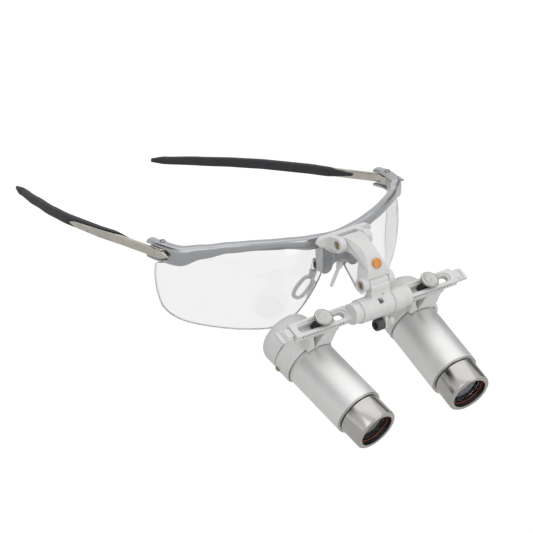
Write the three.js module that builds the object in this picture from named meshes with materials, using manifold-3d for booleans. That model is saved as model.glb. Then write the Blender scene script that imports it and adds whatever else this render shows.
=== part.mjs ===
// Dental loupes: a half-rim sports frame that carries a pair of prism telescopes on a flip-up arm.
// Millimetres. +Z is up, -Y is the way the wearer looks, +X is the wearer's left.
// Every piece is laid out from the mid-point between the two temple hinge screws; the finished
// assembly is then moved so that the origin is the seat of the wearer's nose between the pads.
import * as THREE from 'three';
import { mergeVertices } from 'three/addons/utils/BufferGeometryUtils.js';
import Module from 'manifold-3d';

const wasm = await Module();
wasm.setup();

// ---- Clearances -------------------------------------------------------------------------------
const GAP = 0.3;            // between two pieces that touch
const RUN = 0.35;           // round anything that turns or slides

// ---- Spectacle frame --------------------------------------------------------------------------
const NOSE_SEAT = [0, -28, -27];
const HINGE_X = 66;         // half the distance between the temple hinge screws
const WRAP_RADIUS = 77;     // plan radius of the brow bar's middle line
const WRAP_CENTRE_Y = 36.4;
const WRAP_ARC = 48;        // degrees of arc each side before the bar turns back to the hinge
const BAR_DEPTH = 4.6;
const BAR_TAIL_Y = 8.5;     // the fork's end, behind the hinge
const BAR_TAIL_X = 0.6;     // how far outside the hinge axis the fork's middle runs
// distance along X, top height, bottom height
const BAR_STATIONS = [
  [0, 1.6, -3.9],
  [14, 2.6, -3.9],
  [25, 3.4, -1.4],
  [38, 3.8, -0.6],
  [48, 3.2, -1.6],
  [56, 1.6, -5.0],
  [63, 0.1, -8.8],
  [70, -0.4, -9.4],
];
const LUG_X = 7.9;          // nasal lug that holds the lens's inner edge and the pad arm
const LUG_WIDTH = 5;
const LUG_Y = -41;
const LUG_DEPTH = 7.6;
const LUG_DROP = 15.8;
const BRIDGE_ARCH = 11.8;
const BRIDGE_RECESS = 5.2;

// ---- Lenses -----------------------------------------------------------------------------------
const LENS_RADIUS = 68;
const LENS_THICKNESS = 2;
const LENS_CENTRE = [8, 28, -18];

// ---- Temples ----------------------------------------------------------------------------------
const TEMPLE_DROOP = 0.114; // fall per millimetre of length
const TEMPLE_Z = -3.7;      // height of the temple's middle at the hinge
const TEMPLE_EYE_RADIUS = 3.1;
const TEMPLE_EYE_HEIGHT = 3.6;
const TEMPLE_CORE_THICKNESS = 2.4;
const TEMPLE_CORE_HEIGHT = 4.4;
const TEMPLE_CORE_SINK = -0.8;  // the metal hangs a little below the rubber's middle
const TEMPLE_NOSE = -7.8;  // the arrow tip, ahead of the hinge
// distance behind the hinge, middle outside the hinge axis, thickness, height
const TEMPLE_CORE_OFFSETS = [
  [TEMPLE_NOSE, 2.9, 0.8, 0.5],
  [-4, 3, TEMPLE_CORE_THICKNESS, 3.4],
  [6, 3.1, TEMPLE_CORE_THICKNESS, TEMPLE_CORE_HEIGHT],
  [20, 3.6, TEMPLE_CORE_THICKNESS, TEMPLE_CORE_HEIGHT],
  [45, 5, TEMPLE_CORE_THICKNESS, TEMPLE_CORE_HEIGHT - 0.2],
  [60, 5.3, TEMPLE_CORE_THICKNESS, 3.4],
  [71, 5.2, 0.9, 0.6],
];
const SLEEVE_OFFSETS = [
  [20, 1.9, 0.6, 1.6],
  [34, 3.2, 3.6, 4.7],
  [45, 4.2, 3.6, 4.9],
  [71, 4.4, 3.6, 4.9],
  [87, 3, 3.4, 4.8],
  [106, 0, 3.4, 4.5],
  [125, -3.6, 3, 3.8],
  [131.5, -5, 1.6, 2],
];
const SLEEVE_SINK = -0.4;
const LEFT_TEMPLE_FOLD = 22.1;
const RIGHT_TEMPLE_FOLD = 0;
const HINGE_SCREW_RADIUS = 0.9;
const HINGE_HEAD_RADIUS = 1.6;
const HINGE_HEAD_HEIGHT = 0.7;
const HINGE_SCREW_END = -8.6;   // just inside the fork's lower plate

// ---- Nose pads --------------------------------------------------------------------------------
const PAD_CENTRE = [9.8, -29.6, -28.2];
const PAD_LENGTH = 15.5;
const PAD_WIDTH = 7.8;
const PAD_CORD = 1.9;       // thickness of the silicone loop
const PAD_ARM_RADIUS = 1.1;
const PAD_LEAN = 21;        // the pad's foot stands further back than its top
const PAD_SPLAY = 25;       // and its top stands nearer the nose than its foot
const PAD_TURN = 30;        // the pad faces inwards and back

// ---- Bridge clamp and upper pivot -------------------------------------------------------------
const BLOCK_WIDTH = 31;
const BLOCK_FRONT_Y = -48;
const BLOCK_BACK_Y = -45.2;
const BLOCK_TOP = 4.2;
const BLOCK_BOTTOM = -5;
const BLOCK_END_BOTTOM = -0.8;
const JAW_BACK_Y = -35.4;
const JAW_WIDTH = 13;
const JAW_TOP = -2.4;
const JAW_BOTTOM = -10;
const JAW_SCREW_X = 4;
const JAW_SCREW_Z = -4.6;
const JAW_SCREW_RADIUS = 0.8;
const JAW_HEAD_RADIUS = 1.7;
const JAW_SCREW_BITE = 1.4;
const UPPER_PIVOT = [-52.4, 1.1];
const UPPER_EAR_RADIUS = 3.6;
const UPPER_BARREL_RADIUS = 3.3;
const UPPER_EAR_OUTER = 9;
const UPPER_EAR_INNER = 5.6;
const PIVOT_HOLE_RADIUS = 1.3;
const PIVOT_SCREW_RADIUS = 1;
const PIVOT_HEAD_RADIUS = 1.8;
const PIVOT_HEAD_DEPTH = 0.9;

// ---- Flip-up arm ------------------------------------------------------------------------------
const ARM_TOP_WIDTH = 10.5;
const ARM_TOP_END = -54;
const ARM_WAIST_WIDTH = 7.2;
const ARM_WAIST_START = -61;
const ARM_WAIST_Z = -1.5;
const ARM_BOTTOM_WIDTH = 15.6;
const LOWER_PIVOT = [-68.7, -12.5];
const LOWER_EAR_RADIUS = 3.3;
const LOWER_EAR_OUTER = 8.8;
const LOWER_EAR_INNER = 5.6;
const BADGE_RADIUS = 2.3;
const BADGE_HEIGHT = 1;
const BADGE_CENTRE = [-69.6, -3.6];
const BADGE_TILT = -28;

// ---- Tilt link, hub and rails -----------------------------------------------------------------
const HUB_CENTRE = [-71.3, -23.3];
const HUB_RADIUS = 5.5;
const HUB_HALF_LENGTH = 12;
const HUB_BORE_RADIUS = 3.8;
const COLLAR_START = 5.7;
const LINK_FRONT_Y = -72.6;
const LINK_THICKNESS = 3.6;
const LINK_BARREL_RADIUS = 3.1;
const HUB_WINDOW_X = [1.6, 4.4];
const HUB_WINDOW_Y = [-70.8, -68.2];
const LOCK_AXIS = [-73.4, -31.8];
const LOCK_KNOB_RADIUS = 2.8;
const LOCK_X = 1.6;
const LOCK_KNOB_LENGTH = 4;
const LOCK_STUB_RADIUS = 2.2;
const LOCK_STUB_LENGTH = 4;
const LOCK_LUG = 1.6;
const LOCK_HOLE_RADIUS = 1.2;
const RAIL_CENTRE = [-68.5, -24.2];
const RAIL_TILT = 27;
const RAIL_WIDTH = 7.8;
const RAIL_THICKNESS = 3.4;
const RAIL_START = 12.3;
const RAIL_END = 47;
const RAIL_NECK_RADIUS = 4.8;
const RAIL_NECK_LENGTH = 4;
const SLOT_START = 18;
const SLOT_END = 43.4;
const SLOT_WIDTH = 3.6;
const RAIL_TIP_LENGTH = 6.6;
const RAIL_TIP_WIDTH = 6;
const RAIL_TIP_THICKNESS = 2.2;
const RAIL_TIP_DROP = 0.7;

// ---- Optics -----------------------------------------------------------------------------------
const PUPIL_HALF = 30.6;    // half the pupil distance set on the rail, at the seam of each telescope
const SEAM_Y = -61;
const SEAM_Z = -46.2;
const DECLINATION = 22.2;
const CONVERGENCE = 4.48;
const BARREL_RADIUS = 11.7;
const BARREL_LENGTH = 34.2;
const BARREL_BORE = 9.6;
const RING_RADIUS = 10.55;
const RING_LENGTH = 11.9;
const RING_BORE = 8.9;
const RING_LIP = 8.3;
const OBJECTIVE_THICKNESS = 3;
const MOUNT_RADIUS = 12.9;
const MOUNT_OFFSET = [0.5, 0.8];
const MOUNT_LENGTH = 8.2;
const MOUNT_BORE = 11;
const SHELL_RADIUS = 12.7;
const SHELL_STRAIGHT = 6.4;
const SHELL_LENGTH = 11.4;
const SHELL_OFFSET = [1.1, 1.5];
const SHELL_WALL = 1.8;
const EYECUP_RADIUS = 8;
const EYECUP_LENGTH = 2;
const EYECUP_BORE = 6.2;
const EYECUP_NECK = 7.2;
const PRISM_SIZE = [13, 9, 13];
const KNOB_X = 30.9;
const KNOB_RADIUS = 4.3;
const KNOB_THICKNESS = 1.5;
const KNOB_LIFT = 2;
const STUD_RADIUS = 1.1;
const WEDGE_LENGTH = 9;
const SADDLE_LENGTH = 17.4;
const SADDLE_THICKNESS = 2;
const RAIL_REACH = 21;      // from the telescope's axis to the underside of the rail
const BRACKET_DEPTH = 6.5;
const BRACKET_FRONT_Y = -2;
const HOUSING_SCREW_ANGLE = 112;

const SIDES = [{ name: 'right', sign: -1 }, { name: 'left', sign: 1 }];
const rad = THREE.MathUtils.degToRad;

// ---- Solids -----------------------------------------------------------------------------------

// a closed three.js geometry as a solid that can be joined and cut
function solid(geometry) {
  const bare = geometry.clone();
  bare.deleteAttribute('normal');
  bare.deleteAttribute('uv');
  const merged = mergeVertices(bare, 1e-4);
  return new wasm.Manifold(new wasm.Mesh({
    numProp: 3,
    vertProperties: new Float32Array(merged.attributes.position.array),
    triVerts: new Uint32Array(merged.index.array),
  }));
}

function geometryOf(body) {
  const mesh = body.getMesh();
  const geometry = new THREE.BufferGeometry();
  geometry.setAttribute('position', new THREE.BufferAttribute(new Float32Array(mesh.vertProperties), 3));
  geometry.setIndex(new THREE.BufferAttribute(new Uint32Array(mesh.triVerts), 1));
  geometry.computeVertexNormals();
  return geometry;
}

function box(x0, x1, y0, y1, z0, z1) {
  const geometry = new THREE.BoxGeometry(x1 - x0, y1 - y0, z1 - z0);
  return geometry.translate((x0 + x1) / 2, (y0 + y1) / 2, (z0 + z1) / 2);
}

// cylinder along X between x0 and x1, about the line through (y, z)
function rodX(radius, x0, x1, [y, z], segments = 24) {
  const geometry = new THREE.CylinderGeometry(radius, radius, x1 - x0, segments);
  return geometry.rotateZ(Math.PI / 2).translate((x0 + x1) / 2, y, z);
}

function rodZ(radius, z0, z1, [x, y], segments = 16) {
  const geometry = new THREE.CylinderGeometry(radius, radius, z1 - z0, segments);
  return geometry.rotateX(Math.PI / 2).translate(x, y, (z0 + z1) / 2);
}

// a shape drawn in (y, z) and given a thickness along X, centred on x = 0
function plateX(points, width, curveSegments = 8) {
  const shape = points instanceof THREE.Shape ? points : new THREE.Shape(points.map((p) => new THREE.Vector2(...p)));
  const geometry = new THREE.ExtrudeGeometry(shape, { depth: width, bevelEnabled: false, curveSegments });
  return geometry.translate(0, 0, -width / 2).rotateX(Math.PI / 2).rotateZ(Math.PI / 2);
}

// a body swept along a path: place(t) gives the middle, section(t) the half width and half height
function sweep(place, section, steps, around = 14, squareness = 3) {
  const geometry = new THREE.CylinderGeometry(1, 1, 1, around, steps);
  const points = geometry.attributes.position;
  const ahead = 1e-3;
  for (let i = 0; i < points.count; i += 1) {
    const t = points.getY(i) + 0.5;
    const reach = Math.hypot(points.getX(i), points.getZ(i));
    const angle = Math.atan2(points.getZ(i), points.getX(i));
    const [halfWidth, halfHeight] = section(t);
    const across = reach * halfWidth * Math.sign(Math.cos(angle)) * Math.abs(Math.cos(angle)) ** (2 / squareness);
    const up = reach * halfHeight * Math.sign(Math.sin(angle)) * Math.abs(Math.sin(angle)) ** (2 / squareness);
    const middle = place(t);
    const heading = place(Math.min(t + ahead, 1)).sub(place(Math.max(t - ahead, 0)));
    const side = new THREE.Vector3(heading.y, -heading.x, 0).normalize();
    points.setXYZ(i, middle.x + side.x * across, middle.y + side.y * across, middle.z + up);
  }
  return geometry;
}

// value of a smooth line through [position, value, value] stations
function stationAt(stations, position, column) {
  const last = stations.length - 1;
  let i = stations.findIndex((row) => row[0] > position);
  i = i < 0 ? last : Math.max(i, 1);
  const [a, b] = [stations[i - 1], stations[i]];
  const t = THREE.MathUtils.clamp((position - a[0]) / (b[0] - a[0]), 0, 1);
  const eased = t * t * (3 - 2 * t) * 0.5 + t * 0.5;
  return a[column] + (b[column] - a[column]) * eased;
}

function finish(colour, roughness, metalness) {
  return { color: colour, roughness, metalness };
}

const SILVER_PAINT = finish(0xaeb2b9, 0.35, 0.6);
const GREY_PLASTIC = finish(0xd2d2cf, 0.45, 0);
const LACQUER = finish(0xbfc0c0, 0.35, 0.7);
const CHROME = finish(0xd8d8d6, 0.15, 1);
const NICKEL = finish(0xb8b09c, 0.35, 1);
const STEEL = finish(0x9a948a, 0.35, 1);
const RUBBER = finish(0x2c2d30, 0.85, 0);
const DARK_PLASTIC = finish(0x1c1c1e, 0.5, 0);
const GLASS = finish(0xe8ebee, 0.05, 0);
const SILICONE = finish(0xe4e4de, 0.4, 0);
const BADGE_ENAMEL = finish(0xd9822b, 0.4, 0);

const loupes = new THREE.Group();

function addPiece(parent, name, geometry, look) {
  const piece = new THREE.Mesh(geometry, new THREE.MeshStandardMaterial(look));
  piece.name = name;
  parent.add(piece);
  return piece;
}

// ---- Brow bar ---------------------------------------------------------------------------------

function barPath() {
  const half = [];
  const arcSteps = 8;
  for (let i = 0; i <= arcSteps; i += 1) {
    const angle = rad((WRAP_ARC * i) / arcSteps);
    half.push([WRAP_RADIUS * Math.sin(angle), WRAP_CENTRE_Y - WRAP_RADIUS * Math.cos(angle)]);
  }
  const [endX, endY] = half[arcSteps];
  half.push([(endX + HINGE_X + BAR_TAIL_X) / 2 + 1.6, endY / 2 - 1.2]);
  half.push([HINGE_X + BAR_TAIL_X, BAR_TAIL_Y * 0.2]);
  half.push([HINGE_X + BAR_TAIL_X, BAR_TAIL_Y]);
  const left = half.slice(1).map(([x, y]) => new THREE.Vector3(-x, y, 0)).reverse();
  const right = half.map(([x, y]) => new THREE.Vector3(x, y, 0));
  return new THREE.CatmullRomCurve3([...left, ...right]);
}

const BAR_CURVE = barPath();

function barSweep(grow) {
  const height = (t, column) => stationAt(BAR_STATIONS, Math.abs(BAR_CURVE.getPoint(t).x), column);
  const place = (t) => {
    const middle = BAR_CURVE.getPoint(t);
    middle.z = (height(t, 1) + height(t, 2)) / 2;
    return middle;
  };
  const section = (t) => [BAR_DEPTH / 2 + grow, (height(t, 1) - height(t, 2)) / 2 + grow];
  return solid(sweep(place, section, 40, 10, 3.2));
}

// the bridge wall below the bar, arched over the nose between two lugs that hold the lens edges
function noseBridge() {
  const half = LUG_X + LUG_WIDTH / 2;
  const shape = new THREE.Shape();
  shape.moveTo(half, -BAR_STATIONS[0][1]);
  shape.lineTo(half, -LUG_DROP + 1.4);
  shape.quadraticCurveTo(half - 0.4, -LUG_DROP, LUG_X, -LUG_DROP);
  shape.quadraticCurveTo(LUG_X - LUG_WIDTH / 2, -LUG_DROP + 0.4, LUG_X - LUG_WIDTH / 2 - 1, -BRIDGE_ARCH - 1.4);
  shape.quadraticCurveTo(2.4, -BRIDGE_ARCH, 0, -BRIDGE_ARCH);
  const right = shape.getPoints(6);
  const outline = [...right, ...right.slice(0, -1).reverse().map((p) => new THREE.Vector2(-p.x, p.y))];
  const plate = new THREE.ExtrudeGeometry(new THREE.Shape(outline.reverse()), { depth: LUG_DEPTH, bevelEnabled: false });
  plate.rotateX(Math.PI / 2).translate(0, LUG_Y + LUG_DEPTH / 2, 0);
  const recess = new THREE.CylinderGeometry(BRIDGE_RECESS, BRIDGE_RECESS, 40, 16);
  recess.rotateX(Math.PI / 2).scale(1, 0.32, 1).translate(0, LUG_Y - LUG_DEPTH / 2 - 0.6, -BRIDGE_ARCH);
  const back = recess.clone().translate(0, LUG_DEPTH + 1.2, 0);
  return solid(plate).subtract(solid(recess)).subtract(solid(back));
}

// edge of the lens, (x, z) on its front surface
function lensOutline() {
  const shape = new THREE.Shape();
  shape.moveTo(-69.8, -9.4);
  shape.quadraticCurveTo(-71.3, -18, -68.9, -28);
  shape.quadraticCurveTo(-67, -35.8, -59.5, -37.9);
  shape.quadraticCurveTo(-46, -40.8, -31, -41.9);
  shape.quadraticCurveTo(-22.5, -41.6, -17, -34);
  shape.quadraticCurveTo(-10, -24, -6.9, -17.8);
  shape.quadraticCurveTo(-6.6, -17.3, -8, -LUG_DROP + 1);
  shape.lineTo(-8.6, -6);
  shape.quadraticCurveTo(-10, -1.4, -18, -0.8);
  shape.quadraticCurveTo(-36, 1.8, -46, 0);
  shape.quadraticCurveTo(-54, -2.4, -60, -7.6);
  return shape;
}

// the lens, or with grow the pocket that takes it; its edge is cut square to its own surface
function lensSolid(sign, grow) {
  const [cx, cy, cz] = [-LENS_CENTRE[0], LENS_CENTRE[1], LENS_CENTRE[2]];
  const ball = (radius) => solid(new THREE.SphereGeometry(radius, 36, 20).rotateX(Math.PI / 2).translate(cx, cy, cz));
  const shell = ball(LENS_RADIUS + grow).subtract(ball(LENS_RADIUS - LENS_THICKNESS - grow));
  const bevel = { bevelEnabled: grow > 0, bevelThickness: 0.01, bevelSize: grow, bevelSegments: 1 };
  const wedge = new THREE.ExtrudeGeometry(lensOutline(), { depth: 1, curveSegments: 5, ...bevel });
  const points = wedge.attributes.position;
  for (let i = 0; i < points.count; i += 1) {
    const [dx, dz] = [points.getX(i) - cx, points.getY(i) - cz];
    const dy = -Math.sqrt(LENS_RADIUS ** 2 - dx ** 2 - dz ** 2);
    const reach = points.getZ(i) > 0.5 ? 1.4 : 0.5;
    points.setXYZ(i, cx + dx * reach, cy + dy * reach, cz + dz * reach);
  }
  const lens = shell.intersect(solid(wedge));
  return sign < 0 ? lens : lens.mirror([1, 0, 0]);
}

// the gap between the two plates of the fork, open inwards and backwards, with a notch for the arrow
function templeSlot(sign) {
  const low = TEMPLE_Z + TEMPLE_CORE_SINK - TEMPLE_CORE_HEIGHT / 2 - RUN - TEMPLE_DROOP * BAR_TAIL_Y;
  const high = TEMPLE_Z + TEMPLE_EYE_HEIGHT / 2 + RUN;
  const reach = 12;
  const x0 = sign * HINGE_X;
  const through = box(x0 - reach, x0 + reach, -TEMPLE_EYE_RADIUS - RUN, BAR_TAIL_Y + 2, low, high);
  const notchMiddle = x0 + sign * (TEMPLE_CORE_OFFSETS[0][1] - TEMPLE_CORE_THICKNESS / 2 - RUN + reach / 2);
  const notch = box(notchMiddle - reach / 2, notchMiddle + reach / 2, TEMPLE_NOSE - RUN, 0, low + 1.4, high + 0.8);
  return solid(through).add(solid(notch));
}

function browBar() {
  let bar = barSweep(0).add(noseBridge());
  for (const { sign } of SIDES) {
    bar = bar.subtract(solid(jawBore(sign)));
    const hole = rodZ(HINGE_SCREW_RADIUS + GAP, TEMPLE_Z - 9, 4, [sign * HINGE_X, 0]);
    bar = bar.subtract(lensSolid(sign, GAP)).subtract(templeSlot(sign)).subtract(solid(hole));
  }
  return bar;
}

addPiece(loupes, 'brow_bar', geometryOf(browBar()), SILVER_PAINT);
for (const { name, sign } of SIDES) {
  addPiece(loupes, `lens_${name}`, geometryOf(lensSolid(sign, 0)), GLASS);
}

// ---- Temples ----------------------------------------------------------------------------------
// laid out open, from the hinge axis, with x counted outwards

function templeSweep(stations, sink, grow, steps) {
  const [start, end] = [stations[0][0], stations[stations.length - 1][0]];
  const at = (t) => start + (end - start) * t;
  const place = (t) => {
    const y = at(t);
    return new THREE.Vector3(stationAt(stations, y, 1), y, TEMPLE_Z - TEMPLE_DROOP * y + sink);
  };
  const section = (t) => [stationAt(stations, at(t), 2) / 2 + grow, stationAt(stations, at(t), 3) / 2 + grow];
  return solid(sweep(place, section, steps, 8, 3.4));
}

function templeCore(grow) {
  return templeSweep(TEMPLE_CORE_OFFSETS, TEMPLE_CORE_SINK, grow, 16);
}

function templeMetal() {
  const half = TEMPLE_EYE_HEIGHT / 2;
  const eye = solid(rodZ(TEMPLE_EYE_RADIUS, TEMPLE_Z - half, TEMPLE_Z + half, [0, 0], 16));
  const neckEnd = TEMPLE_CORE_OFFSETS[0][1];
  const neck = solid(box(0, neckEnd, -1.8, 5.5, TEMPLE_Z - half + 0.4, TEMPLE_Z + half - 0.4));
  const hole = solid(rodZ(HINGE_SCREW_RADIUS + GAP, TEMPLE_Z - 4, TEMPLE_Z + 4, [0, 0]));
  return eye.add(neck).add(templeCore(0)).subtract(hole);
}

function templeSleeve() {
  return templeSweep(SLEEVE_OFFSETS, SLEEVE_SINK, 0, 16).subtract(templeCore(GAP));
}

function hingeScrew() {
  const top = BAR_STATIONS[BAR_STATIONS.length - 2][1] + GAP;
  const profile = [
    [0, HINGE_SCREW_END],
    [HINGE_SCREW_RADIUS, HINGE_SCREW_END],
    [HINGE_SCREW_RADIUS, top],
    [HINGE_HEAD_RADIUS, top],
    [HINGE_HEAD_RADIUS * 0.8, top + HINGE_HEAD_HEIGHT],
    [0, top + HINGE_HEAD_HEIGHT],
  ];
  return latheZ(profile, 12);
}

// a body of revolution about Z, from [radius, z] points that start and end on the axis or close
function latheZ(profile, segments) {
  const points = profile.map((p) => new THREE.Vector2(...p));
  return new THREE.LatheGeometry(points, segments).rotateX(Math.PI / 2);
}

const FOLD = { right: -RIGHT_TEMPLE_FOLD, left: LEFT_TEMPLE_FOLD };
for (const { name, sign } of SIDES) {
  const temple = new THREE.Group();
  temple.position.set(sign * HINGE_X, 0, 0);
  temple.rotation.z = rad(FOLD[name]);
  loupes.add(temple);
  const sideOf = (body) => geometryOf(sign > 0 ? body : body.mirror([1, 0, 0]));
  addPiece(temple, `temple_metal_${name}`, sideOf(templeMetal()), NICKEL);
  addPiece(temple, `temple_sleeve_${name}`, sideOf(templeSleeve()), RUBBER);
  const screw = addPiece(loupes, `temple_screw_${name}`, geometryOf(solid(hingeScrew())), STEEL);
  screw.position.set(sign * HINGE_X, 0, 0);
}

// ---- Nose pads --------------------------------------------------------------------------------

// a closed loop of round section in the XZ plane
function padLoop() {
  const geometry = new THREE.TorusGeometry(1, 0.25, 6, 24);
  const points = geometry.attributes.position;
  for (let i = 0; i < points.count; i += 1) {
    const angle = Math.atan2(points.getY(i), points.getX(i));
    const out = ((Math.hypot(points.getX(i), points.getY(i)) - 1) / 0.25) * (PAD_CORD / 2);
    const thick = (points.getZ(i) / 0.25) * (PAD_CORD / 2);
    const width = (PAD_WIDTH - PAD_CORD) / 2 + out;
    const length = (PAD_LENGTH - PAD_CORD) / 2 + out;
    const squared = (value) => Math.sign(value) * Math.abs(value) ** 0.8;
    points.setXYZ(i, width * squared(Math.cos(angle)), -thick, length * squared(Math.sin(angle)));
  }
  return geometry;
}

function padPlace(sign) {
  const turn = new THREE.Euler(rad(PAD_LEAN), rad(-sign * PAD_SPLAY), rad(sign * PAD_TURN), 'ZYX');
  const matrix = new THREE.Matrix4().makeRotationFromEuler(turn);
  return matrix.setPosition(sign * PAD_CENTRE[0], PAD_CENTRE[1], PAD_CENTRE[2]);
}

// the clear rod that carries the pad, from behind the lug to the top of the loop
function padArm(sign) {
  const lugBack = LUG_Y + LUG_DEPTH / 2;
  const rise = PAD_LENGTH / 2 + GAP + PAD_ARM_RADIUS;
  const route = new THREE.CatmullRomCurve3([
    new THREE.Vector3(sign * LUG_X, lugBack + GAP + PAD_ARM_RADIUS, -LUG_DROP + 4),
    new THREE.Vector3(sign * LUG_X, lugBack + 2.6, -LUG_DROP),
    new THREE.Vector3(0, 0, rise).applyMatrix4(padPlace(sign)),
  ]);
  const circle = new THREE.Shape();
  circle.absarc(0, 0, PAD_ARM_RADIUS, 0, Math.PI * 2);
  return new THREE.ExtrudeGeometry(circle, { steps: 6, curveSegments: 5, extrudePath: route });
}

for (const { name, sign } of SIDES) {
  addPiece(loupes, `nose_pad_${name}`, geometryOf(solid(padLoop().applyMatrix4(padPlace(sign)))), SILICONE);
  addPiece(loupes, `pad_arm_${name}`, geometryOf(solid(padArm(sign))), GLASS);
}

// ---- Bridge clamp -----------------------------------------------------------------------------

// an ear that holds a pivot screw: a disc, its hole and its counterbore, on the side given by sign
function ear(sign, inner, outer, radius, centre) {
  const [x0, x1] = sign > 0 ? [inner, outer] : [-outer, -inner];
  return solid(rodX(radius, x0, x1, centre, 20));
}

function pivotBore(halfWidth, centre) {
  return solid(rodX(PIVOT_HOLE_RADIUS, -halfWidth - 1, halfWidth + 1, centre, 12));
}

function counterbore(sign, outer, centre) {
  const [x0, x1] = sign > 0 ? [outer - PIVOT_HEAD_DEPTH, outer + 1] : [-outer - 1, -outer + PIVOT_HEAD_DEPTH];
  return solid(rodX(PIVOT_HEAD_RADIUS + GAP, x0, x1, centre, 14));
}

function clampBlock() {
  const half = BLOCK_WIDTH / 2;
  const end = solid(box(-half, half, BLOCK_FRONT_Y + 2, BLOCK_BACK_Y, BLOCK_END_BOTTOM, BLOCK_TOP));
  const middle = solid(box(-UPPER_EAR_OUTER, UPPER_EAR_OUTER, BLOCK_FRONT_Y, BLOCK_BACK_Y, BLOCK_BOTTOM, BLOCK_TOP));
  let block = end.add(middle);
  const [y, z] = UPPER_PIVOT;
  for (const { sign } of SIDES) {
    const [x0, x1] = sign > 0 ? [UPPER_EAR_INNER, UPPER_EAR_OUTER] : [-UPPER_EAR_OUTER, -UPPER_EAR_INNER];
    const web = solid(box(x0, x1, y, BLOCK_FRONT_Y + 1, z - UPPER_EAR_RADIUS, z + UPPER_EAR_RADIUS - 0.4));
    block = block.add(ear(sign, UPPER_EAR_INNER, UPPER_EAR_OUTER, UPPER_EAR_RADIUS, UPPER_PIVOT)).add(web);
    block = block.subtract(counterbore(sign, UPPER_EAR_OUTER, UPPER_PIVOT)).subtract(solid(jawBore(sign)));
  }
  const swing = solid(rodX(UPPER_BARREL_RADIUS + RUN, -UPPER_EAR_INNER, UPPER_EAR_INNER, UPPER_PIVOT, 20));
  return block.subtract(pivotBore(UPPER_EAR_OUTER, UPPER_PIVOT)).subtract(swing);
}

// clearance hole for a clamp screw through the jaw and the bridge into the block
function jawBore(sign) {
  const from = BLOCK_BACK_Y - JAW_SCREW_BITE - GAP;
  const hole = new THREE.CylinderGeometry(JAW_SCREW_RADIUS + GAP, JAW_SCREW_RADIUS + GAP, JAW_BACK_Y + 1 - from, 10);
  return hole.translate(sign * JAW_SCREW_X, (JAW_BACK_Y + 1 + from) / 2, JAW_SCREW_Z);
}

// the plate behind the bridge that the clamp screws draw towards the block
function clampJaw() {
  const half = JAW_WIDTH / 2;
  const frontY = LUG_Y + LUG_DEPTH / 2 + GAP;
  let jaw = solid(box(-half, half, frontY, JAW_BACK_Y, JAW_BOTTOM, JAW_TOP));
  for (const { sign } of SIDES) {
    jaw = jaw.subtract(solid(jawBore(sign)));
  }
  return jaw.subtract(barSweep(GAP));
}

// a screw along Y with its head at the back
function clampScrew() {
  const end = BLOCK_BACK_Y - JAW_SCREW_BITE - JAW_BACK_Y;
  const profile = [
    [0, end],
    [JAW_SCREW_RADIUS, end],
    [JAW_SCREW_RADIUS, GAP],
    [JAW_HEAD_RADIUS, GAP],
    [JAW_HEAD_RADIUS * 0.85, GAP + 1],
    [0, GAP + 1],
  ];
  return latheZ(profile, 10).rotateX(-Math.PI / 2);
}

// a screw along X whose head sits in an ear's counterbore and whose shank reaches into the barrel
function pivotScrew(sign, outer) {
  const head = outer - GAP;
  const seat = outer - PIVOT_HEAD_DEPTH + GAP;
  const profile = [
    [0, 1.5],
    [PIVOT_SCREW_RADIUS, 1.5],
    [PIVOT_SCREW_RADIUS, seat],
    [PIVOT_HEAD_RADIUS, seat],
    [PIVOT_HEAD_RADIUS, head],
    [0, head],
  ];
  return latheZ(profile, 12).rotateY((sign * Math.PI) / 2);
}

addPiece(loupes, 'clamp_block', geometryOf(clampBlock()), GREY_PLASTIC);
addPiece(loupes, 'clamp_jaw', geometryOf(clampJaw()), GREY_PLASTIC);
for (const { name, sign } of SIDES) {
  const clampBolt = addPiece(loupes, `clamp_screw_${name}`, geometryOf(solid(clampScrew())), STEEL);
  clampBolt.position.set(sign * JAW_SCREW_X, JAW_BACK_Y, JAW_SCREW_Z);
  const pivot = addPiece(loupes, `upper_pivot_screw_${name}`, geometryOf(solid(pivotScrew(sign, UPPER_EAR_OUTER))), STEEL);
  pivot.position.set(0, ...UPPER_PIVOT);
}

// ---- Flip-up arm ------------------------------------------------------------------------------

// the side view of the arm, a C that opens towards the wearer
function armProfile() {
  const [y, z] = UPPER_PIVOT;
  const shape = new THREE.Shape();
  shape.moveTo(y, z + UPPER_BARREL_RADIUS);
  shape.quadraticCurveTo(-58.6, 4.4, -63.6, 1.5);
  shape.quadraticCurveTo(-69.2, -2, -70.6, -7.4);
  shape.lineTo(-71.2, -11);
  shape.lineTo(-65.2, -11.4);
  shape.quadraticCurveTo(-63.9, -8.6, -62.4, -5.6);
  shape.quadraticCurveTo(-60.4, -2.9, -56.8, -2.2);
  shape.lineTo(y, z - UPPER_BARREL_RADIUS);
  return shape;
}

// the arm is widest over the pivots and waisted between them
function armWidth(y, z) {
  const towardsWaist = THREE.MathUtils.smoothstep(-y, -ARM_TOP_END, -ARM_WAIST_START);
  const top = THREE.MathUtils.lerp(ARM_TOP_WIDTH, ARM_WAIST_WIDTH, towardsWaist);
  const flare = THREE.MathUtils.smoothstep(-z, -ARM_WAIST_Z, -LOWER_PIVOT[1]);
  return top + (ARM_BOTTOM_WIDTH - ARM_WAIST_WIDTH) * flare;
}

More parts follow.
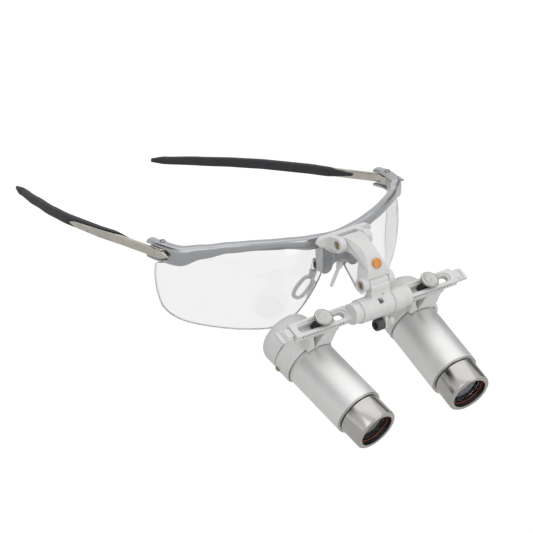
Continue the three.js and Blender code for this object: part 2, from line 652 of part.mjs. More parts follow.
function flipArm() {
  const geometry = plateX(armProfile(), 1, 6);
  const points = geometry.attributes.position;
  for (let i = 0; i < points.count; i += 1) {
    points.setX(i, points.getX(i) * armWidth(points.getY(i), points.getZ(i)));
  }
  let arm = solid(geometry);
  const barrelHalf = UPPER_EAR_INNER - RUN;
  arm = arm.add(solid(rodX(UPPER_BARREL_RADIUS, -barrelHalf, barrelHalf, UPPER_PIVOT, 20)));
  for (const { sign } of SIDES) {
    arm = arm.add(ear(sign, LOWER_EAR_INNER, LOWER_EAR_OUTER, LOWER_EAR_RADIUS, LOWER_PIVOT));
    arm = arm.subtract(counterbore(sign, LOWER_EAR_OUTER, LOWER_PIVOT));
  }
  const swing = solid(rodX(LINK_BARREL_RADIUS + RUN, -LOWER_EAR_INNER, LOWER_EAR_INNER, LOWER_PIVOT, 20));
  arm = arm.subtract(swing).subtract(pivotBore(LOWER_EAR_OUTER, LOWER_PIVOT));
  return arm.subtract(pivotBore(UPPER_EAR_OUTER, UPPER_PIVOT));
}

// a plain round enamel dot on the front of the arm
function badge() {
  const disc = new THREE.CylinderGeometry(BADGE_RADIUS, BADGE_RADIUS, BADGE_HEIGHT, 20);
  return disc.rotateX(rad(BADGE_TILT)).translate(0, ...BADGE_CENTRE);
}

addPiece(loupes, 'flip_arm', geometryOf(flipArm()), GREY_PLASTIC);
addPiece(loupes, 'arm_badge', geometryOf(solid(badge()).subtract(flipArm())), BADGE_ENAMEL);
for (const { name, sign } of SIDES) {
  const pivot = addPiece(loupes, `tilt_pivot_screw_${name}`, geometryOf(solid(pivotScrew(sign, LOWER_EAR_OUTER))), STEEL);
  pivot.position.set(0, ...LOWER_PIVOT);
}

// ---- Tilt link and hub ------------------------------------------------------------------------

function linkProfile() {
  const [y, z] = LOWER_PIVOT;
  const back = LINK_FRONT_Y + LINK_THICKNESS;
  return [
    [LINK_FRONT_Y, z - 1],
    [y - 1.5, z + 1],
    [back, z],
    [back, HUB_CENTRE[1] + HUB_RADIUS - 1],
    [LINK_FRONT_Y, HUB_CENTRE[1] + HUB_RADIUS - 1],
  ];
}

// plate, barrel and the sleeve that holds the two rails, moulded in one
function tiltLink() {
  const half = LOWER_EAR_INNER - RUN;
  const lockTop = HUB_CENTRE[1] - HUB_RADIUS + 1;
  let link = solid(plateX(linkProfile().reverse(), 2 * half));
  link = link.add(solid(rodX(LINK_BARREL_RADIUS, -half, half, LOWER_PIVOT, 20)));
  link = link.add(solid(rodX(HUB_RADIUS, -HUB_HALF_LENGTH, COLLAR_START - GAP, HUB_CENTRE, 24)));
  const [lockY, lockZ] = LOCK_AXIS;
  const lug = box(LOCK_X - LOCK_LUG / 2, LOCK_X + LOCK_LUG / 2, lockY - 1.9, lockY + 1.9, lockZ - 1.9, lockTop);
  link = link.add(solid(lug));
  link = link.subtract(solid(rodX(HUB_BORE_RADIUS, -HUB_HALF_LENGTH - 1, HUB_HALF_LENGTH + 1, HUB_CENTRE, 20)));
  link = link.subtract(solid(rodX(LOCK_HOLE_RADIUS, LOCK_X - LOCK_LUG, LOCK_X + LOCK_LUG, LOCK_AXIS, 12)));
  link = link.subtract(solid(box(...HUB_WINDOW_X, ...HUB_WINDOW_Y, HUB_CENTRE[1], HUB_CENTRE[1] + HUB_RADIUS + 1)));
  return link.subtract(pivotBore(LOWER_EAR_OUTER, LOWER_PIVOT));
}

function hubCollar() {
  const tube = solid(rodX(HUB_RADIUS, COLLAR_START, HUB_HALF_LENGTH, HUB_CENTRE, 24));
  return tube.subtract(solid(rodX(HUB_BORE_RADIUS, COLLAR_START - 1, HUB_HALF_LENGTH + 1, HUB_CENTRE, 20)));
}

// the dark knob and its light stub share one short shaft through the link's lug
function lockKnob() {
  const outer = LOCK_X - LOCK_LUG / 2 - GAP;
  const knob = solid(rodX(LOCK_KNOB_RADIUS, outer - LOCK_KNOB_LENGTH, outer, LOCK_AXIS, 20));
  const shaft = solid(rodX(LOCK_HOLE_RADIUS - GAP, outer - 1, LOCK_X + LOCK_LUG / 2 - GAP, LOCK_AXIS, 12));
  const hollow = solid(rodX(LOCK_KNOB_RADIUS - 1, outer - LOCK_KNOB_LENGTH - 1, outer - 1.6, LOCK_AXIS, 16));
  return knob.subtract(hollow).add(shaft);
}

function lockStub() {
  const start = LOCK_X + LOCK_LUG / 2 + GAP;
  return solid(rodX(LOCK_STUB_RADIUS, start, start + LOCK_STUB_LENGTH, LOCK_AXIS, 20));
}

addPiece(loupes, 'tilt_link', geometryOf(tiltLink()), GREY_PLASTIC);
addPiece(loupes, 'hub_collar', geometryOf(hubCollar()), GREY_PLASTIC);
addPiece(loupes, 'lock_knob', geometryOf(lockKnob()), DARK_PLASTIC);
addPiece(loupes, 'lock_stub', geometryOf(lockStub()), GREY_PLASTIC);

// ---- Rails ------------------------------------------------------------------------------------

// the rail's own frame: x along the rail, y across it, z out of its top face
const railPlace = new THREE.Matrix4().makeRotationX(rad(RAIL_TILT)).setPosition(0, ...RAIL_CENTRE);
const inRail = (geometry) => geometry.applyMatrix4(railPlace);

function slotRounded(x0, x1, width, depth) {
  const radius = width / 2;
  const shape = new THREE.Shape();
  shape.absarc(x1 - radius, 0, radius, -Math.PI / 2, Math.PI / 2);
  shape.absarc(x0 + radius, 0, radius, Math.PI / 2, (3 * Math.PI) / 2);
  return new THREE.ExtrudeGeometry(shape, { depth, bevelEnabled: false, curveSegments: 5 }).translate(0, 0, -depth / 2);
}

function rail() {
  const [w, t] = [RAIL_WIDTH / 2, RAIL_THICKNESS / 2];
  const neckEnd = RAIL_START + RAIL_NECK_LENGTH;
  let body = solid(inRail(box(neckEnd - 1, RAIL_END, -w, w, -t, t)));
  body = body.add(solid(rodX(RAIL_NECK_RADIUS, RAIL_START, neckEnd, HUB_CENTRE, 20)));
  body = body.add(solid(rodX(HUB_BORE_RADIUS - GAP, GAP, RAIL_START + 1, HUB_CENTRE, 20)));
  body = body.subtract(solid(inRail(slotRounded(SLOT_START, SLOT_END, SLOT_WIDTH, RAIL_THICKNESS * 3))));
  return body;
}

function railTip() {
  const w = RAIL_TIP_WIDTH / 2;
  const top = RAIL_TIP_THICKNESS / 2 - RAIL_TIP_DROP;
  const low = top - RAIL_TIP_THICKNESS;
  const start = RAIL_END + GAP;
  const body = solid(inRail(box(start, start + RAIL_TIP_LENGTH, -w, w, low, top)));
  const groove = solid(inRail(box(start + RAIL_TIP_LENGTH - 1.7, start + RAIL_TIP_LENGTH - 1.2, -w - 1, w - 1, top - 0.5, top + 1)));
  return body.subtract(groove);
}

for (const { name, sign } of SIDES) {
  const sideOf = (body) => geometryOf(sign > 0 ? body : body.mirror([1, 0, 0]));
  addPiece(loupes, `rail_${name}`, sideOf(rail()), GREY_PLASTIC);
  addPiece(loupes, `rail_tip_${name}`, sideOf(railTip()), GREY_PLASTIC);
}

// ---- Telescopes -------------------------------------------------------------------------------
// each is built along -Y from its seam, then turned down and inwards

function lathe(profile, segments) {
  const points = profile.map(([radius, forward]) => new THREE.Vector2(radius, -forward)).reverse();
  return new THREE.LatheGeometry(points, segments);
}

function opticMatrix(sign) {
  const turn = new THREE.Euler(rad(DECLINATION), 0, rad(-sign * CONVERGENCE), 'ZYX');
  const matrix = new THREE.Matrix4().makeRotationFromEuler(turn);
  return matrix.setPosition(sign * PUPIL_HALF, SEAM_Y, SEAM_Z);
}

function barrel() {
  const spigot = -MOUNT_LENGTH * 0.6;
  return lathe([
    [BARREL_BORE, spigot],
    [MOUNT_BORE - GAP, spigot],
    [MOUNT_BORE - GAP, GAP],
    [BARREL_RADIUS - 0.3, GAP],
    [BARREL_RADIUS, GAP + 0.4],
    [BARREL_RADIUS, BARREL_LENGTH - 1],
    [BARREL_RADIUS - 0.5, BARREL_LENGTH],
    [BARREL_BORE, BARREL_LENGTH],
    [BARREL_BORE, spigot],
  ], 28);
}

function objectiveRing() {
  const back = BARREL_LENGTH - 6;
  const front = BARREL_LENGTH + RING_LENGTH;
  return lathe([
    [RING_BORE, back],
    [BARREL_BORE - GAP, back],
    [BARREL_BORE - GAP, BARREL_LENGTH + GAP],
    [RING_RADIUS, BARREL_LENGTH + GAP],
    [RING_RADIUS, front - 0.8],
    [RING_RADIUS - 0.8, front],
    [RING_LIP, front],
    [RING_LIP, front - 1.4],
    [RING_BORE, front - 1.4],
    [RING_BORE, back],
  ], 28);
}

function objectiveLens() {
  const rim = RING_BORE - GAP;
  const front = BARREL_LENGTH + RING_LENGTH - 1.4 - GAP;
  const bulge = 0.9;
  const edge = front - bulge - OBJECTIVE_THICKNESS;
  const curve = [0.95, 0.8, 0.55, 0.3];
  const dome = curve.map((share) => [rim * share, front - bulge * share ** 2]);
  return lathe([
    [0, edge],
    [rim, edge],
    [rim, front - bulge],
    ...dome,
    [0, front],
  ], 20);
}

function retainingRing() {
  const front = BARREL_LENGTH + RING_LENGTH - 1.4 - 0.9 - OBJECTIVE_THICKNESS - 2 * GAP;
  const outer = RING_BORE - GAP;
  return lathe([
    [outer - 1.2, front - 1.6],
    [outer, front - 1.6],
    [outer, front],
    [outer - 1.2, front],
    [outer - 1.2, front - 1.6],
  ], 20);
}

// the rear shell: a cup with a rounded back, set off from the barrel's axis towards its top
function prismShell(sign) {
  const front = -MOUNT_LENGTH - GAP;
  const bend = front - SHELL_STRAIGHT;
  const back = front - SHELL_LENGTH;
  const corner = bend - back;
  const round = [0.35, 0.65, 0.88].map((t) => {
    const angle = t * (Math.PI / 2);
    return [SHELL_RADIUS - corner * (1 - Math.cos(angle)), bend - corner * Math.sin(angle)];
  });
  const outside = lathe([
    [0, back],
    [SHELL_RADIUS - corner, back],
    ...round.reverse(),
    [SHELL_RADIUS, bend],
    [SHELL_RADIUS, front],
    [0, front],
  ], 28);
  outside.translate(sign * SHELL_OFFSET[0], 0, SHELL_OFFSET[1]);
  const cavity = rodY(SHELL_RADIUS - SHELL_WALL - SHELL_OFFSET[1], back + SHELL_WALL, front + 1, 20);
  const eye = rodY(EYECUP_NECK + GAP, back - 1, front, 20);
  return solid(outside).subtract(solid(cavity)).subtract(solid(eye));
}

// cylinder along the telescope's axis between two distances ahead of the seam
function rodY(radius, from, to, segments) {
  return new THREE.CylinderGeometry(radius, radius, to - from, segments).translate(0, -(from + to) / 2, 0);
}

function eyecup() {
  const shellBack = -MOUNT_LENGTH - GAP - SHELL_LENGTH;
  const back = shellBack - GAP - EYECUP_LENGTH;
  return lathe([
    [EYECUP_BORE, shellBack + SHELL_WALL],
    [EYECUP_BORE, back + 1],
    [EYECUP_BORE - 0.9, back + 0.6],
    [EYECUP_BORE - 0.6, back],
    [EYECUP_RADIUS - 0.7, back],
    [EYECUP_RADIUS, back + 0.8],
    [EYECUP_RADIUS - 0.5, shellBack - GAP],
    [EYECUP_NECK, shellBack - GAP],
    [EYECUP_NECK, shellBack + SHELL_WALL],
    [EYECUP_BORE, shellBack + SHELL_WALL],
  ], 20);
}

function eyeLens() {
  const shellBack = -MOUNT_LENGTH - GAP - SHELL_LENGTH;
  const rim = EYECUP_BORE - GAP;
  return lathe([
    [0, shellBack - 2.2],
    [rim * 0.6, shellBack - 1.9],
    [rim, shellBack - 1.2],
    [rim, shellBack + 1],
    [0, shellBack + 1],
  ], 20);
}

// a Schmidt-Pechan pair drawn as one block with bevelled corners
function prismBlock() {
  const [w, d, h] = PRISM_SIZE;
  const shape = new THREE.Shape();
  const cut = 2.6;
  shape.moveTo(-d / 2, -h / 2);
  shape.lineTo(d / 2 - cut, -h / 2);
  shape.lineTo(d / 2, -h / 2 + cut);
  shape.lineTo(d / 2, h / 2);
  shape.lineTo(-d / 2 + cut, h / 2);
  shape.lineTo(-d / 2, h / 2 - cut);
  const middle = MOUNT_LENGTH + GAP + d / 2 - 1.4;
  return plateX(shape, w).translate(0, middle, 0);
}

// front ring of the housing with the bracket that hangs it from the rail, moulded in one
function opticMount(sign) {
  const matrix = opticMatrix(sign);
  const ring = rodY(MOUNT_RADIUS, -MOUNT_LENGTH, 0, 28).translate(sign * MOUNT_OFFSET[0], 0, MOUNT_OFFSET[1]);
  const [w, t] = [RAIL_WIDTH / 2, RAIL_THICKNESS / 2];
  const half = SADDLE_LENGTH / 2;
  const middle = sign * KNOB_X;
  const top = -t - GAP;
  const saddle = box(middle - half, middle + half, -w, w, top - SADDLE_THICKNESS, top);
  const drop = MOUNT_RADIUS - 2;
  const reach = RAIL_REACH + RAIL_THICKNESS;
  const shape = new THREE.Shape([
    [-half, reach], [-half * 0.8, drop], [half * 0.86, drop], [half, reach],
  ].map((p) => new THREE.Vector2(...p)));
  const gap = new THREE.Path([
    [-half * 0.78, reach - 4.2], [-half * 0.3, drop + 0.6], [-half * 0.02, reach - 4.2],
  ].map((p) => new THREE.Vector2(...p)));
  shape.holes.push(gap);
  const web = new THREE.ExtrudeGeometry(shape, { depth: BRACKET_DEPTH, bevelEnabled: false });
  web.rotateX(Math.PI / 2).translate(0, BRACKET_FRONT_Y + BRACKET_DEPTH, 0);
  const railCut = box(middle - 40, middle + 40, -w - 20, w + 20, top, top + 30);
  const under = solid(inRail(railCut));
  let mount = solid(ring.applyMatrix4(matrix)).add(solid(web.applyMatrix4(matrix)).subtract(under));
  mount = mount.add(solid(inRail(saddle)));
  mount = mount.subtract(solid(rodY(MOUNT_BORE, -MOUNT_LENGTH - 1, 1, 28).applyMatrix4(matrix)));
  mount = mount.subtract(solid(inRail(rodZ(STUD_RADIUS + GAP, -9, 0, [middle, 0], 10))));
  return mount.subtract(solid(barrelRoom().applyMatrix4(matrix)));
}

function barrelRoom() {
  return rodY(BARREL_RADIUS + GAP, 0, BARREL_LENGTH, 28);
}

// the black nut that slides in the rail's slot under the knob
function slotNut(sign) {
  const [w, t] = [SLOT_WIDTH / 2 - RUN, RAIL_THICKNESS / 2];
  const half = WEDGE_LENGTH / 2;
  const middle = sign * KNOB_X;
  const shape = new THREE.Shape([
    [-half, -t], [half, -t], [half * 0.45, t + KNOB_LIFT - GAP], [-half * 0.45, t + KNOB_LIFT - GAP],
  ].map((p) => new THREE.Vector2(...p)));
  const wedge = new THREE.ExtrudeGeometry(shape, { depth: 2 * w, bevelEnabled: false });
  wedge.rotateX(Math.PI / 2).translate(middle, w, 0);
  const hole = rodZ(STUD_RADIUS + GAP, -9, 9, [middle, 0], 10);
  return solid(inRail(wedge)).subtract(solid(inRail(hole)));
}

// knurled head and stud
function thumbKnob(sign) {
  const base = RAIL_THICKNESS / 2 + KNOB_LIFT;
  const top = base + KNOB_THICKNESS;
  const stop = -RAIL_THICKNESS / 2 - SADDLE_THICKNESS;
  const profile = [
    [0, stop],
    [STUD_RADIUS, stop],
    [STUD_RADIUS, base],
    [KNOB_RADIUS, base],
    [KNOB_RADIUS, top - 0.3],
    [KNOB_RADIUS - 0.5, top],
    [0, top],
  ];
  return inRail(latheZ(profile, 20).translate(sign * KNOB_X, 0, 0));
}

function housingScrew() {
  const profile = [
    [0, -3],
    [0.7, -3],
    [0.7, 0.2],
    [1.2, 0.2],
    [1.1, 0.9],
    [0, 0.9],
  ];
  return latheZ(profile, 10);
}

for (const { name, sign } of SIDES) {
  const telescope = new THREE.Group();
  telescope.matrix.copy(opticMatrix(sign));
  telescope.matrix.decompose(telescope.position, telescope.quaternion, telescope.scale);
  loupes.add(telescope);
  const screwAngle = sign * rad(HOUSING_SCREW_ANGLE);
  const screwPlace = new THREE.Matrix4().makeRotationY(screwAngle);
  screwPlace.setPosition(MOUNT_RADIUS * Math.sin(screwAngle), MOUNT_LENGTH - 2, MOUNT_RADIUS * Math.cos(screwAngle));
  const pit = rodZ(0.7 + GAP, -3.6, 2, [0, 0], 10).applyMatrix4(screwPlace).applyMatrix4(opticMatrix(sign));
  addPiece(loupes, `optic_mount_${name}`, geometryOf(opticMount(sign).subtract(solid(pit))), GREY_PLASTIC);
  addPiece(telescope, `mount_screw_${name}`, geometryOf(solid(housingScrew().applyMatrix4(screwPlace))), STEEL);
  addPiece(telescope, `barrel_${name}`, geometryOf(solid(barrel())), LACQUER);
  addPiece(telescope, `objective_ring_${name}`, geometryOf(solid(objectiveRing())), CHROME);
  addPiece(telescope, `objective_lens_${name}`, geometryOf(solid(objectiveLens())), GLASS);
  addPiece(telescope, `retaining_ring_${name}`, geometryOf(solid(retainingRing())), DARK_PLASTIC);
  addPiece(telescope, `prism_shell_${name}`, geometryOf(prismShell(sign)), GREY_PLASTIC);
  addPiece(telescope, `prism_${name}`, geometryOf(solid(prismBlock())), GLASS);
  addPiece(telescope, `eyecup_${name}`, geometryOf(solid(eyecup())), RUBBER);
  addPiece(telescope, `eye_lens_${name}`, geometryOf(solid(eyeLens())), GLASS);
  addPiece(loupes, `slot_nut_${name}`, geometryOf(slotNut(sign)), DARK_PLASTIC);
  addPiece(loupes, `thumb_knob_${name}`, geometryOf(solid(thumbKnob(sign))), STEEL);
}

loupes.position.set(-NOSE_SEAT[0], -NOSE_SEAT[1], -NOSE_SEAT[2]);
export default loupes;
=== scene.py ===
import math

import bmesh
import bpy
from mathutils import Matrix, Vector


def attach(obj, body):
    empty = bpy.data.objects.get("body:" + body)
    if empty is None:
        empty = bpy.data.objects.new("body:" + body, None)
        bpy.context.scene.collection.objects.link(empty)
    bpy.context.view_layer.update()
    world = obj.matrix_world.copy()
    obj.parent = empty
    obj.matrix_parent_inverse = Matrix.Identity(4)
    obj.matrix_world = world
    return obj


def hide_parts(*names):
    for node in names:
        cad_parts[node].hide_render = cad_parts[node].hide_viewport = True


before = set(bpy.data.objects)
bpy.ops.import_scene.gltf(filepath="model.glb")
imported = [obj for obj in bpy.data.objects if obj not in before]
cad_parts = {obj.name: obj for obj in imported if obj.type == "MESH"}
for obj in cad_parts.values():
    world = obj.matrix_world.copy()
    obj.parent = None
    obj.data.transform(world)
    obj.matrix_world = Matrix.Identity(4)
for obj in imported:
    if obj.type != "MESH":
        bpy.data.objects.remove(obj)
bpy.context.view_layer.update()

MM = 0.001
NOSE_SEAT = Vector((0.0, -28.0, -27.0))     # from the mid-point between the temple screws
SIDES = (("right", -1), ("left", 1))
GAP = 0.3         # between pieces that touch
RUN = 0.35        # between pieces that turn

BAR_DEPTH = 4.6
BAR_WRAP_RADIUS = 77.0
BAR_WRAP_CENTRE = 36.4
BAR_WRAP_ARC = 48.0
HINGE_X = 66.0
BAR_TAIL_X = 0.6
BAR_TAIL_Y = 8.5
# distance from the middle, top and bottom
BAR_HEIGHTS = (
    (0, 1.6, -3.9), (14, 2.6, -3.9), (25, 3.4, -1.4), (38, 3.8, -0.6),
    (48, 3.2, -1.6), (56, 1.6, -5.0), (63, 0.5, -8.8), (70, 0.6, -9.4),
)
TAIL_SWELL = 0.6        # the bar thickens towards its forks
LUG_X, LUG_WIDTH, LUG_DROP = 7.9, 5.0, 15.8
LUG_Y, LUG_DEPTH = -41.0, 7.6
BRIDGE_ARCH, BRIDGE_RECESS = 11.8, 5.2
TEMPLE_Z, TEMPLE_DROOP = -3.7, 0.114
HINGE_SCREW_RADIUS = 0.9
BLADE_NOSE = -7.8       # the temple's point, ahead of the hinge


def in_frame(points):
    """Millimetres from between the temple screws, as metres from the nose seat."""
    return [(Vector(p) - NOSE_SEAT) * MM for p in points]


def raw_object(name, part):
    points, faces = part
    mesh = bpy.data.meshes.new(name)
    mesh.from_pydata(in_frame(points), [], faces)
    made = bmesh.new()
    made.from_mesh(mesh)
    bmesh.ops.remove_doubles(made, verts=made.verts, dist=1e-8)
    bmesh.ops.recalc_face_normals(made, faces=made.faces)
    made.to_mesh(mesh)
    made.free()
    thing = bpy.data.objects.new(name, mesh)
    bpy.context.scene.collection.objects.link(thing)
    return thing


def settle(thing, crease=None):
    """Applies the modifiers and shades the piece smooth, with sharp edges over the crease angle."""
    bpy.context.view_layer.update()
    seen = thing.evaluated_get(bpy.context.evaluated_depsgraph_get())
    mesh = bpy.data.meshes.new_from_object(seen)
    thing.modifiers.clear()
    thing.data = mesh
    mesh.name = thing.name
    mesh.polygons.foreach_set("use_smooth", [True] * len(mesh.polygons))
    if crease:
        mesh.set_sharp_from_angle(angle=math.radians(crease))
    return thing


def shaped(name, adds, cuts=(), cell=0.2, rounds=5, crease=None):
    """Joins solids, cuts others away, and with a cell size melts the edges as a mould leaves them."""
    thing = raw_object(name, adds[0])
    tools = []
    for kind, parts in (("UNION", adds[1:]), ("DIFFERENCE", cuts)):
        for part in parts:
            tool = raw_object(name + "_tool", part)
            step = thing.modifiers.new(kind, "BOOLEAN")
            step.operation, step.object, step.solver = kind, tool, "MANIFOLD"
            tools.append(tool)
    if cell:
        grain = thing.modifiers.new("melt", "REMESH")
        grain.mode, grain.voxel_size = "VOXEL", cell * MM
        soften = thing.modifiers.new("soften", "SMOOTH")
        soften.factor, soften.iterations = 0.5, rounds
    settle(thing, crease)
    for tool in tools:
        bpy.data.objects.remove(tool)
    return thing


def loft(rings, capped=True):
    """Skins a stack of rings that have the same number of points."""
    count = len(rings[0])
    points = [p for ring in rings for p in ring]
    faces = []
    for row in range(len(rings) - 1):
        for i in range(count):
            a, b = row * count + i, row * count + (i + 1) % count
            faces.append((a, b, b + count, a + count))
    if capped:
        faces.append(tuple(range(count)))
        faces.append(tuple(len(points) - count + i for i in range(count)))
    return points, faces


def block(x0, x1, y0, y1, z0, z1):
    low = [(x0, y0, z0), (x1, y0, z0), (x1, y1, z0), (x0, y1, z0)]
    return loft([low, [(x, y, z1) for x, y, _ in low]])


def plate(outline, x0, x1):
    """A solid drawn in (y, z) and given a thickness along X."""
    return loft([[(x0, y, z) for y, z in outline], [(x1, y, z) for y, z in outline]])


def circle(radius, sides):
    angles = [math.tau * i / sides for i in range(sides)]
    return [(radius * math.cos(a), radius * math.sin(a)) for a in angles]


def rod(start, end, radius, sides=56, end_radius=None):
    start, end = Vector(start), Vector(end)
    turn = (end - start).to_track_quat("Z", "Y")
    rings = []
    for middle, reach in ((start, radius), (end, radius if end_radius is None else end_radius)):
        rings.append([middle + turn @ Vector((u, v, 0)) for u, v in circle(reach, sides)])
    return loft(rings)


def rod_x(radius, x0, x1, centre, sides=56):
    return rod((x0, *centre), (x1, *centre), radius, sides)


def smooth_path(points):
    """A curve through the points with no overshoot; position runs from 0 to 1."""
    points = [Vector(p) for p in points]
    ends = [2 * points[0] - points[1], *points, 2 * points[-1] - points[-2]]

    def at(position):
        scaled = min(max(position, 0.0), 1.0) * (len(points) - 1)
        i = min(int(scaled), len(points) - 2)
        t = scaled - i
        p0, p1, p2, p3 = ends[i:i + 4]
        d0, d1, d2 = [math.sqrt((b - a).length) or 1.0 for a, b in ((p0, p1), (p1, p2), (p2, p3))]
        m1 = ((p1 - p0) / d0 - (p2 - p0) / (d0 + d1) + (p2 - p1) / d1) * d1
        m2 = ((p2 - p1) / d1 - (p3 - p1) / (d1 + d2) + (p3 - p2) / d2) * d1
        return p1 + m1 * t + (3 * (p2 - p1) - 2 * m1 - m2) * t ** 2 + (2 * (p1 - p2) + m1 + m2) * t ** 3

    return at


def along(rows, position, column):
    """Smooth value between rows of (position, value, value)."""
    i = next((k for k, row in enumerate(rows) if row[0] > position), len(rows) - 1)
    a, b = rows[max(i, 1) - 1], rows[max(i, 1)]
    t = min(max((position - a[0]) / (b[0] - a[0]), 0.0), 1.0)
    eased = t * t * (3 - 2 * t) * 0.5 + t * 0.5
    return a[column] + (b[column] - a[column]) * eased


def swept(place, half_sizes, steps, sides=40, squareness=3.2):
    """A rounded-square section carried along a level path."""
    rings = []
    for step in range(steps + 1):
        t = step / steps
        middle, (half_width, half_height) = place(t), half_sizes(t)
        heading = place(min(t + 1e-3, 1)) - place(max(t - 1e-3, 0))
        side = Vector((heading.y, -heading.x, 0)).normalized()
        ring = []
        for i in range(sides):
            c, s = math.cos(math.tau * i / sides), math.sin(math.tau * i / sides)
            across = half_width * math.copysign(abs(c) ** (2 / squareness), c)
            up = half_height * math.copysign(abs(s) ** (2 / squareness), s)
            ring.append(middle + side * across + Vector((0, 0, up)))
        rings.append(ring)
    return loft(rings)


def bar_route():
    angles = [math.radians(BAR_WRAP_ARC * i / 8) for i in range(9)]
    half = [(BAR_WRAP_RADIUS * math.sin(a),
             BAR_WRAP_CENTRE - BAR_WRAP_RADIUS * math.cos(a)) for a in angles]
    tail = HINGE_X + BAR_TAIL_X
    half.append(((half[-1][0] + tail) / 2 + 1.6, half[-1][1] / 2 - 1.2))
    half += [(tail, BAR_TAIL_Y * 0.2), (tail, BAR_TAIL_Y)]
    return smooth_path([(-x, y, 0) for x, y in reversed(half[1:])] + [(x, y, 0) for x, y in half])


BAR_ROUTE = bar_route()


def bar_body(grow=0.0, steps=220):
    def place(t):
        middle = BAR_ROUTE(t)
        middle.z = (along(BAR_HEIGHTS, abs(middle.x), 1) + along(BAR_HEIGHTS, abs(middle.x), 2)) / 2
        if abs(middle.x) > 60:
            middle.z -= TEMPLE_DROOP * max(middle.y, 0.0)
        return middle

    def half_sizes(t):
        x = abs(BAR_ROUTE(t).x)
        swell = TAIL_SWELL * min(max((x - 54) / 10, 0.0), 1.0)
        tall = along(BAR_HEIGHTS, x, 1) - along(BAR_HEIGHTS, x, 2)
        return BAR_DEPTH / 2 + swell + grow, tall / 2 + grow

    return swept(place, half_sizes, steps)


def bend_line(*stops, cuts=10):
    """Points along quadratic bends: each stop is (corner, end), or just (end,) for a straight run."""
    points = [Vector(stops[0])]
    for stop in stops[1:]:
        if len(stop) == 1:
            points.append(Vector(stop[0]))
            continue
        start, corner, end = points[-1], Vector(stop[0]), Vector(stop[1])
        for i in range(1, cuts + 1):
            t = i / cuts
            points.append(start * (1 - t) ** 2 + corner * 2 * t * (1 - t) + end * t * t)
    return points


def nose_bridge():
    half = LUG_X + LUG_WIDTH / 2
    left = bend_line(
        (half, -BAR_HEIGHTS[0][1]), ((half, 1.4 - LUG_DROP),),
        ((half - 0.4, -LUG_DROP), (LUG_X, -LUG_DROP)),
        ((LUG_X - LUG_WIDTH / 2, 0.4 - LUG_DROP), (LUG_X - LUG_WIDTH / 2 - 1, -BRIDGE_ARCH - 1.4)),
        ((2.4, -BRIDGE_ARCH), (0, -BRIDGE_ARCH)),
    )
    outline = left + [Vector((-p.x, p.y)) for p in reversed(left[:-1])]
    front, back = LUG_Y - LUG_DEPTH / 2, LUG_Y + LUG_DEPTH / 2
    return loft([[(p.x, front, p.y) for p in outline], [(p.x, back, p.y) for p in outline]])


def bridge_scoop(y):
    """An upright oval cutter that hollows one face of the bridge between the lugs."""
    hollow = circle(BRIDGE_RECESS, 64)
    return loft([[(u, y + v * 0.32, z) for u, v in hollow] for z in (-BRIDGE_ARCH - 20, -BRIDGE_ARCH + 20)])


LENS_RADIUS, LENS_THICKNESS = 68.0, 2.0
LENS_CENTRE = Vector((8.0, 28.0, -18.0))
LENS_MIDDLE = Vector((-40.0, -18.0))
LENS_EDGE = bend_line(
    (-69.8, -9.4), ((-71.3, -18), (-68.9, -28)), ((-67, -35.8), (-59.5, -37.9)),
    ((-46, -40.8), (-31, -41.9)),
    ((-22.5, -41.6), (-17, -34)), ((-10, -24), (-6.9, -17.8)), ((-6.6, -17.3), (-8, 1 - LUG_DROP)),
    ((-8.6, -6),), ((-10, -1.4), (-18, -0.8)), ((-36, 1.8), (-46, 0)), ((-54, -2.0), (-60, -6.2)), cuts=14,
) + [Vector((-65, -7.4))]


def lens_body(sign, grow=0.0):
    """Two concentric spherical skins joined round an edge that stands square to them."""
    front, back = LENS_RADIUS + grow, LENS_RADIUS - LENS_THICKNESS - grow
    shares = [0.04] + [i / 22 for i in range(2, 22)] + [1.0]

    def ring(share, radius, inset):
        points = []
        for p in LENS_EDGE:
            out = (p - LENS_MIDDLE)
            flat = LENS_MIDDLE + out * share + out.normalized() * (grow - inset)
            dx, dz = flat.x + LENS_CENTRE.x, flat.y - LENS_CENTRE.z
            ahead = math.sqrt(LENS_RADIUS ** 2 - dx * dx - dz * dz)
            ray = Vector((dx, -ahead, dz)) * (radius / LENS_RADIUS)
            at = Vector((-LENS_CENTRE.x, LENS_CENTRE.y, LENS_CENTRE.z)) + ray
            points.append((at.x * -sign, at.y, at.z))
        return points

    edge = [ring(1.0, front, 0.25), ring(1.0, front - 0.07, 0.07), ring(1.0, front - 0.25, 0.0)]
    edge += [ring(1.0, back + 0.25, 0.0), ring(1.0, back + 0.07, 0.07), ring(1.0, back, 0.25)]
    faces_out = [ring(s, front, 0.25 * s) for s in shares[:-1]]
    faces_in = [ring(s, back, 0.25 * s) for s in reversed(shares[:-1])]
    return loft(faces_out + edge + faces_in)


def temple_room(sign):
    """The fork's slot, open inwards and backwards, and the notch for the temple's pointed nose."""
    low = TEMPLE_Z - 0.8 - 2.2 - RUN - TEMPLE_DROOP * BAR_TAIL_Y
    high = TEMPLE_Z + 1.8 + RUN
    x0 = sign * HINGE_X
    rise = TEMPLE_DROOP * BAR_TAIL_Y
    gap = [(-3.1 - RUN, low + rise), (-3.1 - RUN, high), (3.4, high), (BAR_TAIL_Y + 2, high - 1.1),
           (BAR_TAIL_Y + 2, low - 0.2)]
    through = plate(gap, x0 - 12, x0 + 12)
    middle = x0 + sign * (2.9 - 1.2 - RUN + 6)
    notch = [(BLADE_NOSE - RUN, low + 3.4), (BLADE_NOSE + 0.9, high - 0.9), (-5, high - 0.1), (0, high),
             (0, low + 1.4), (-6, low + 1.9)]
    return [through, plate(notch, middle - 6, middle + 6)]


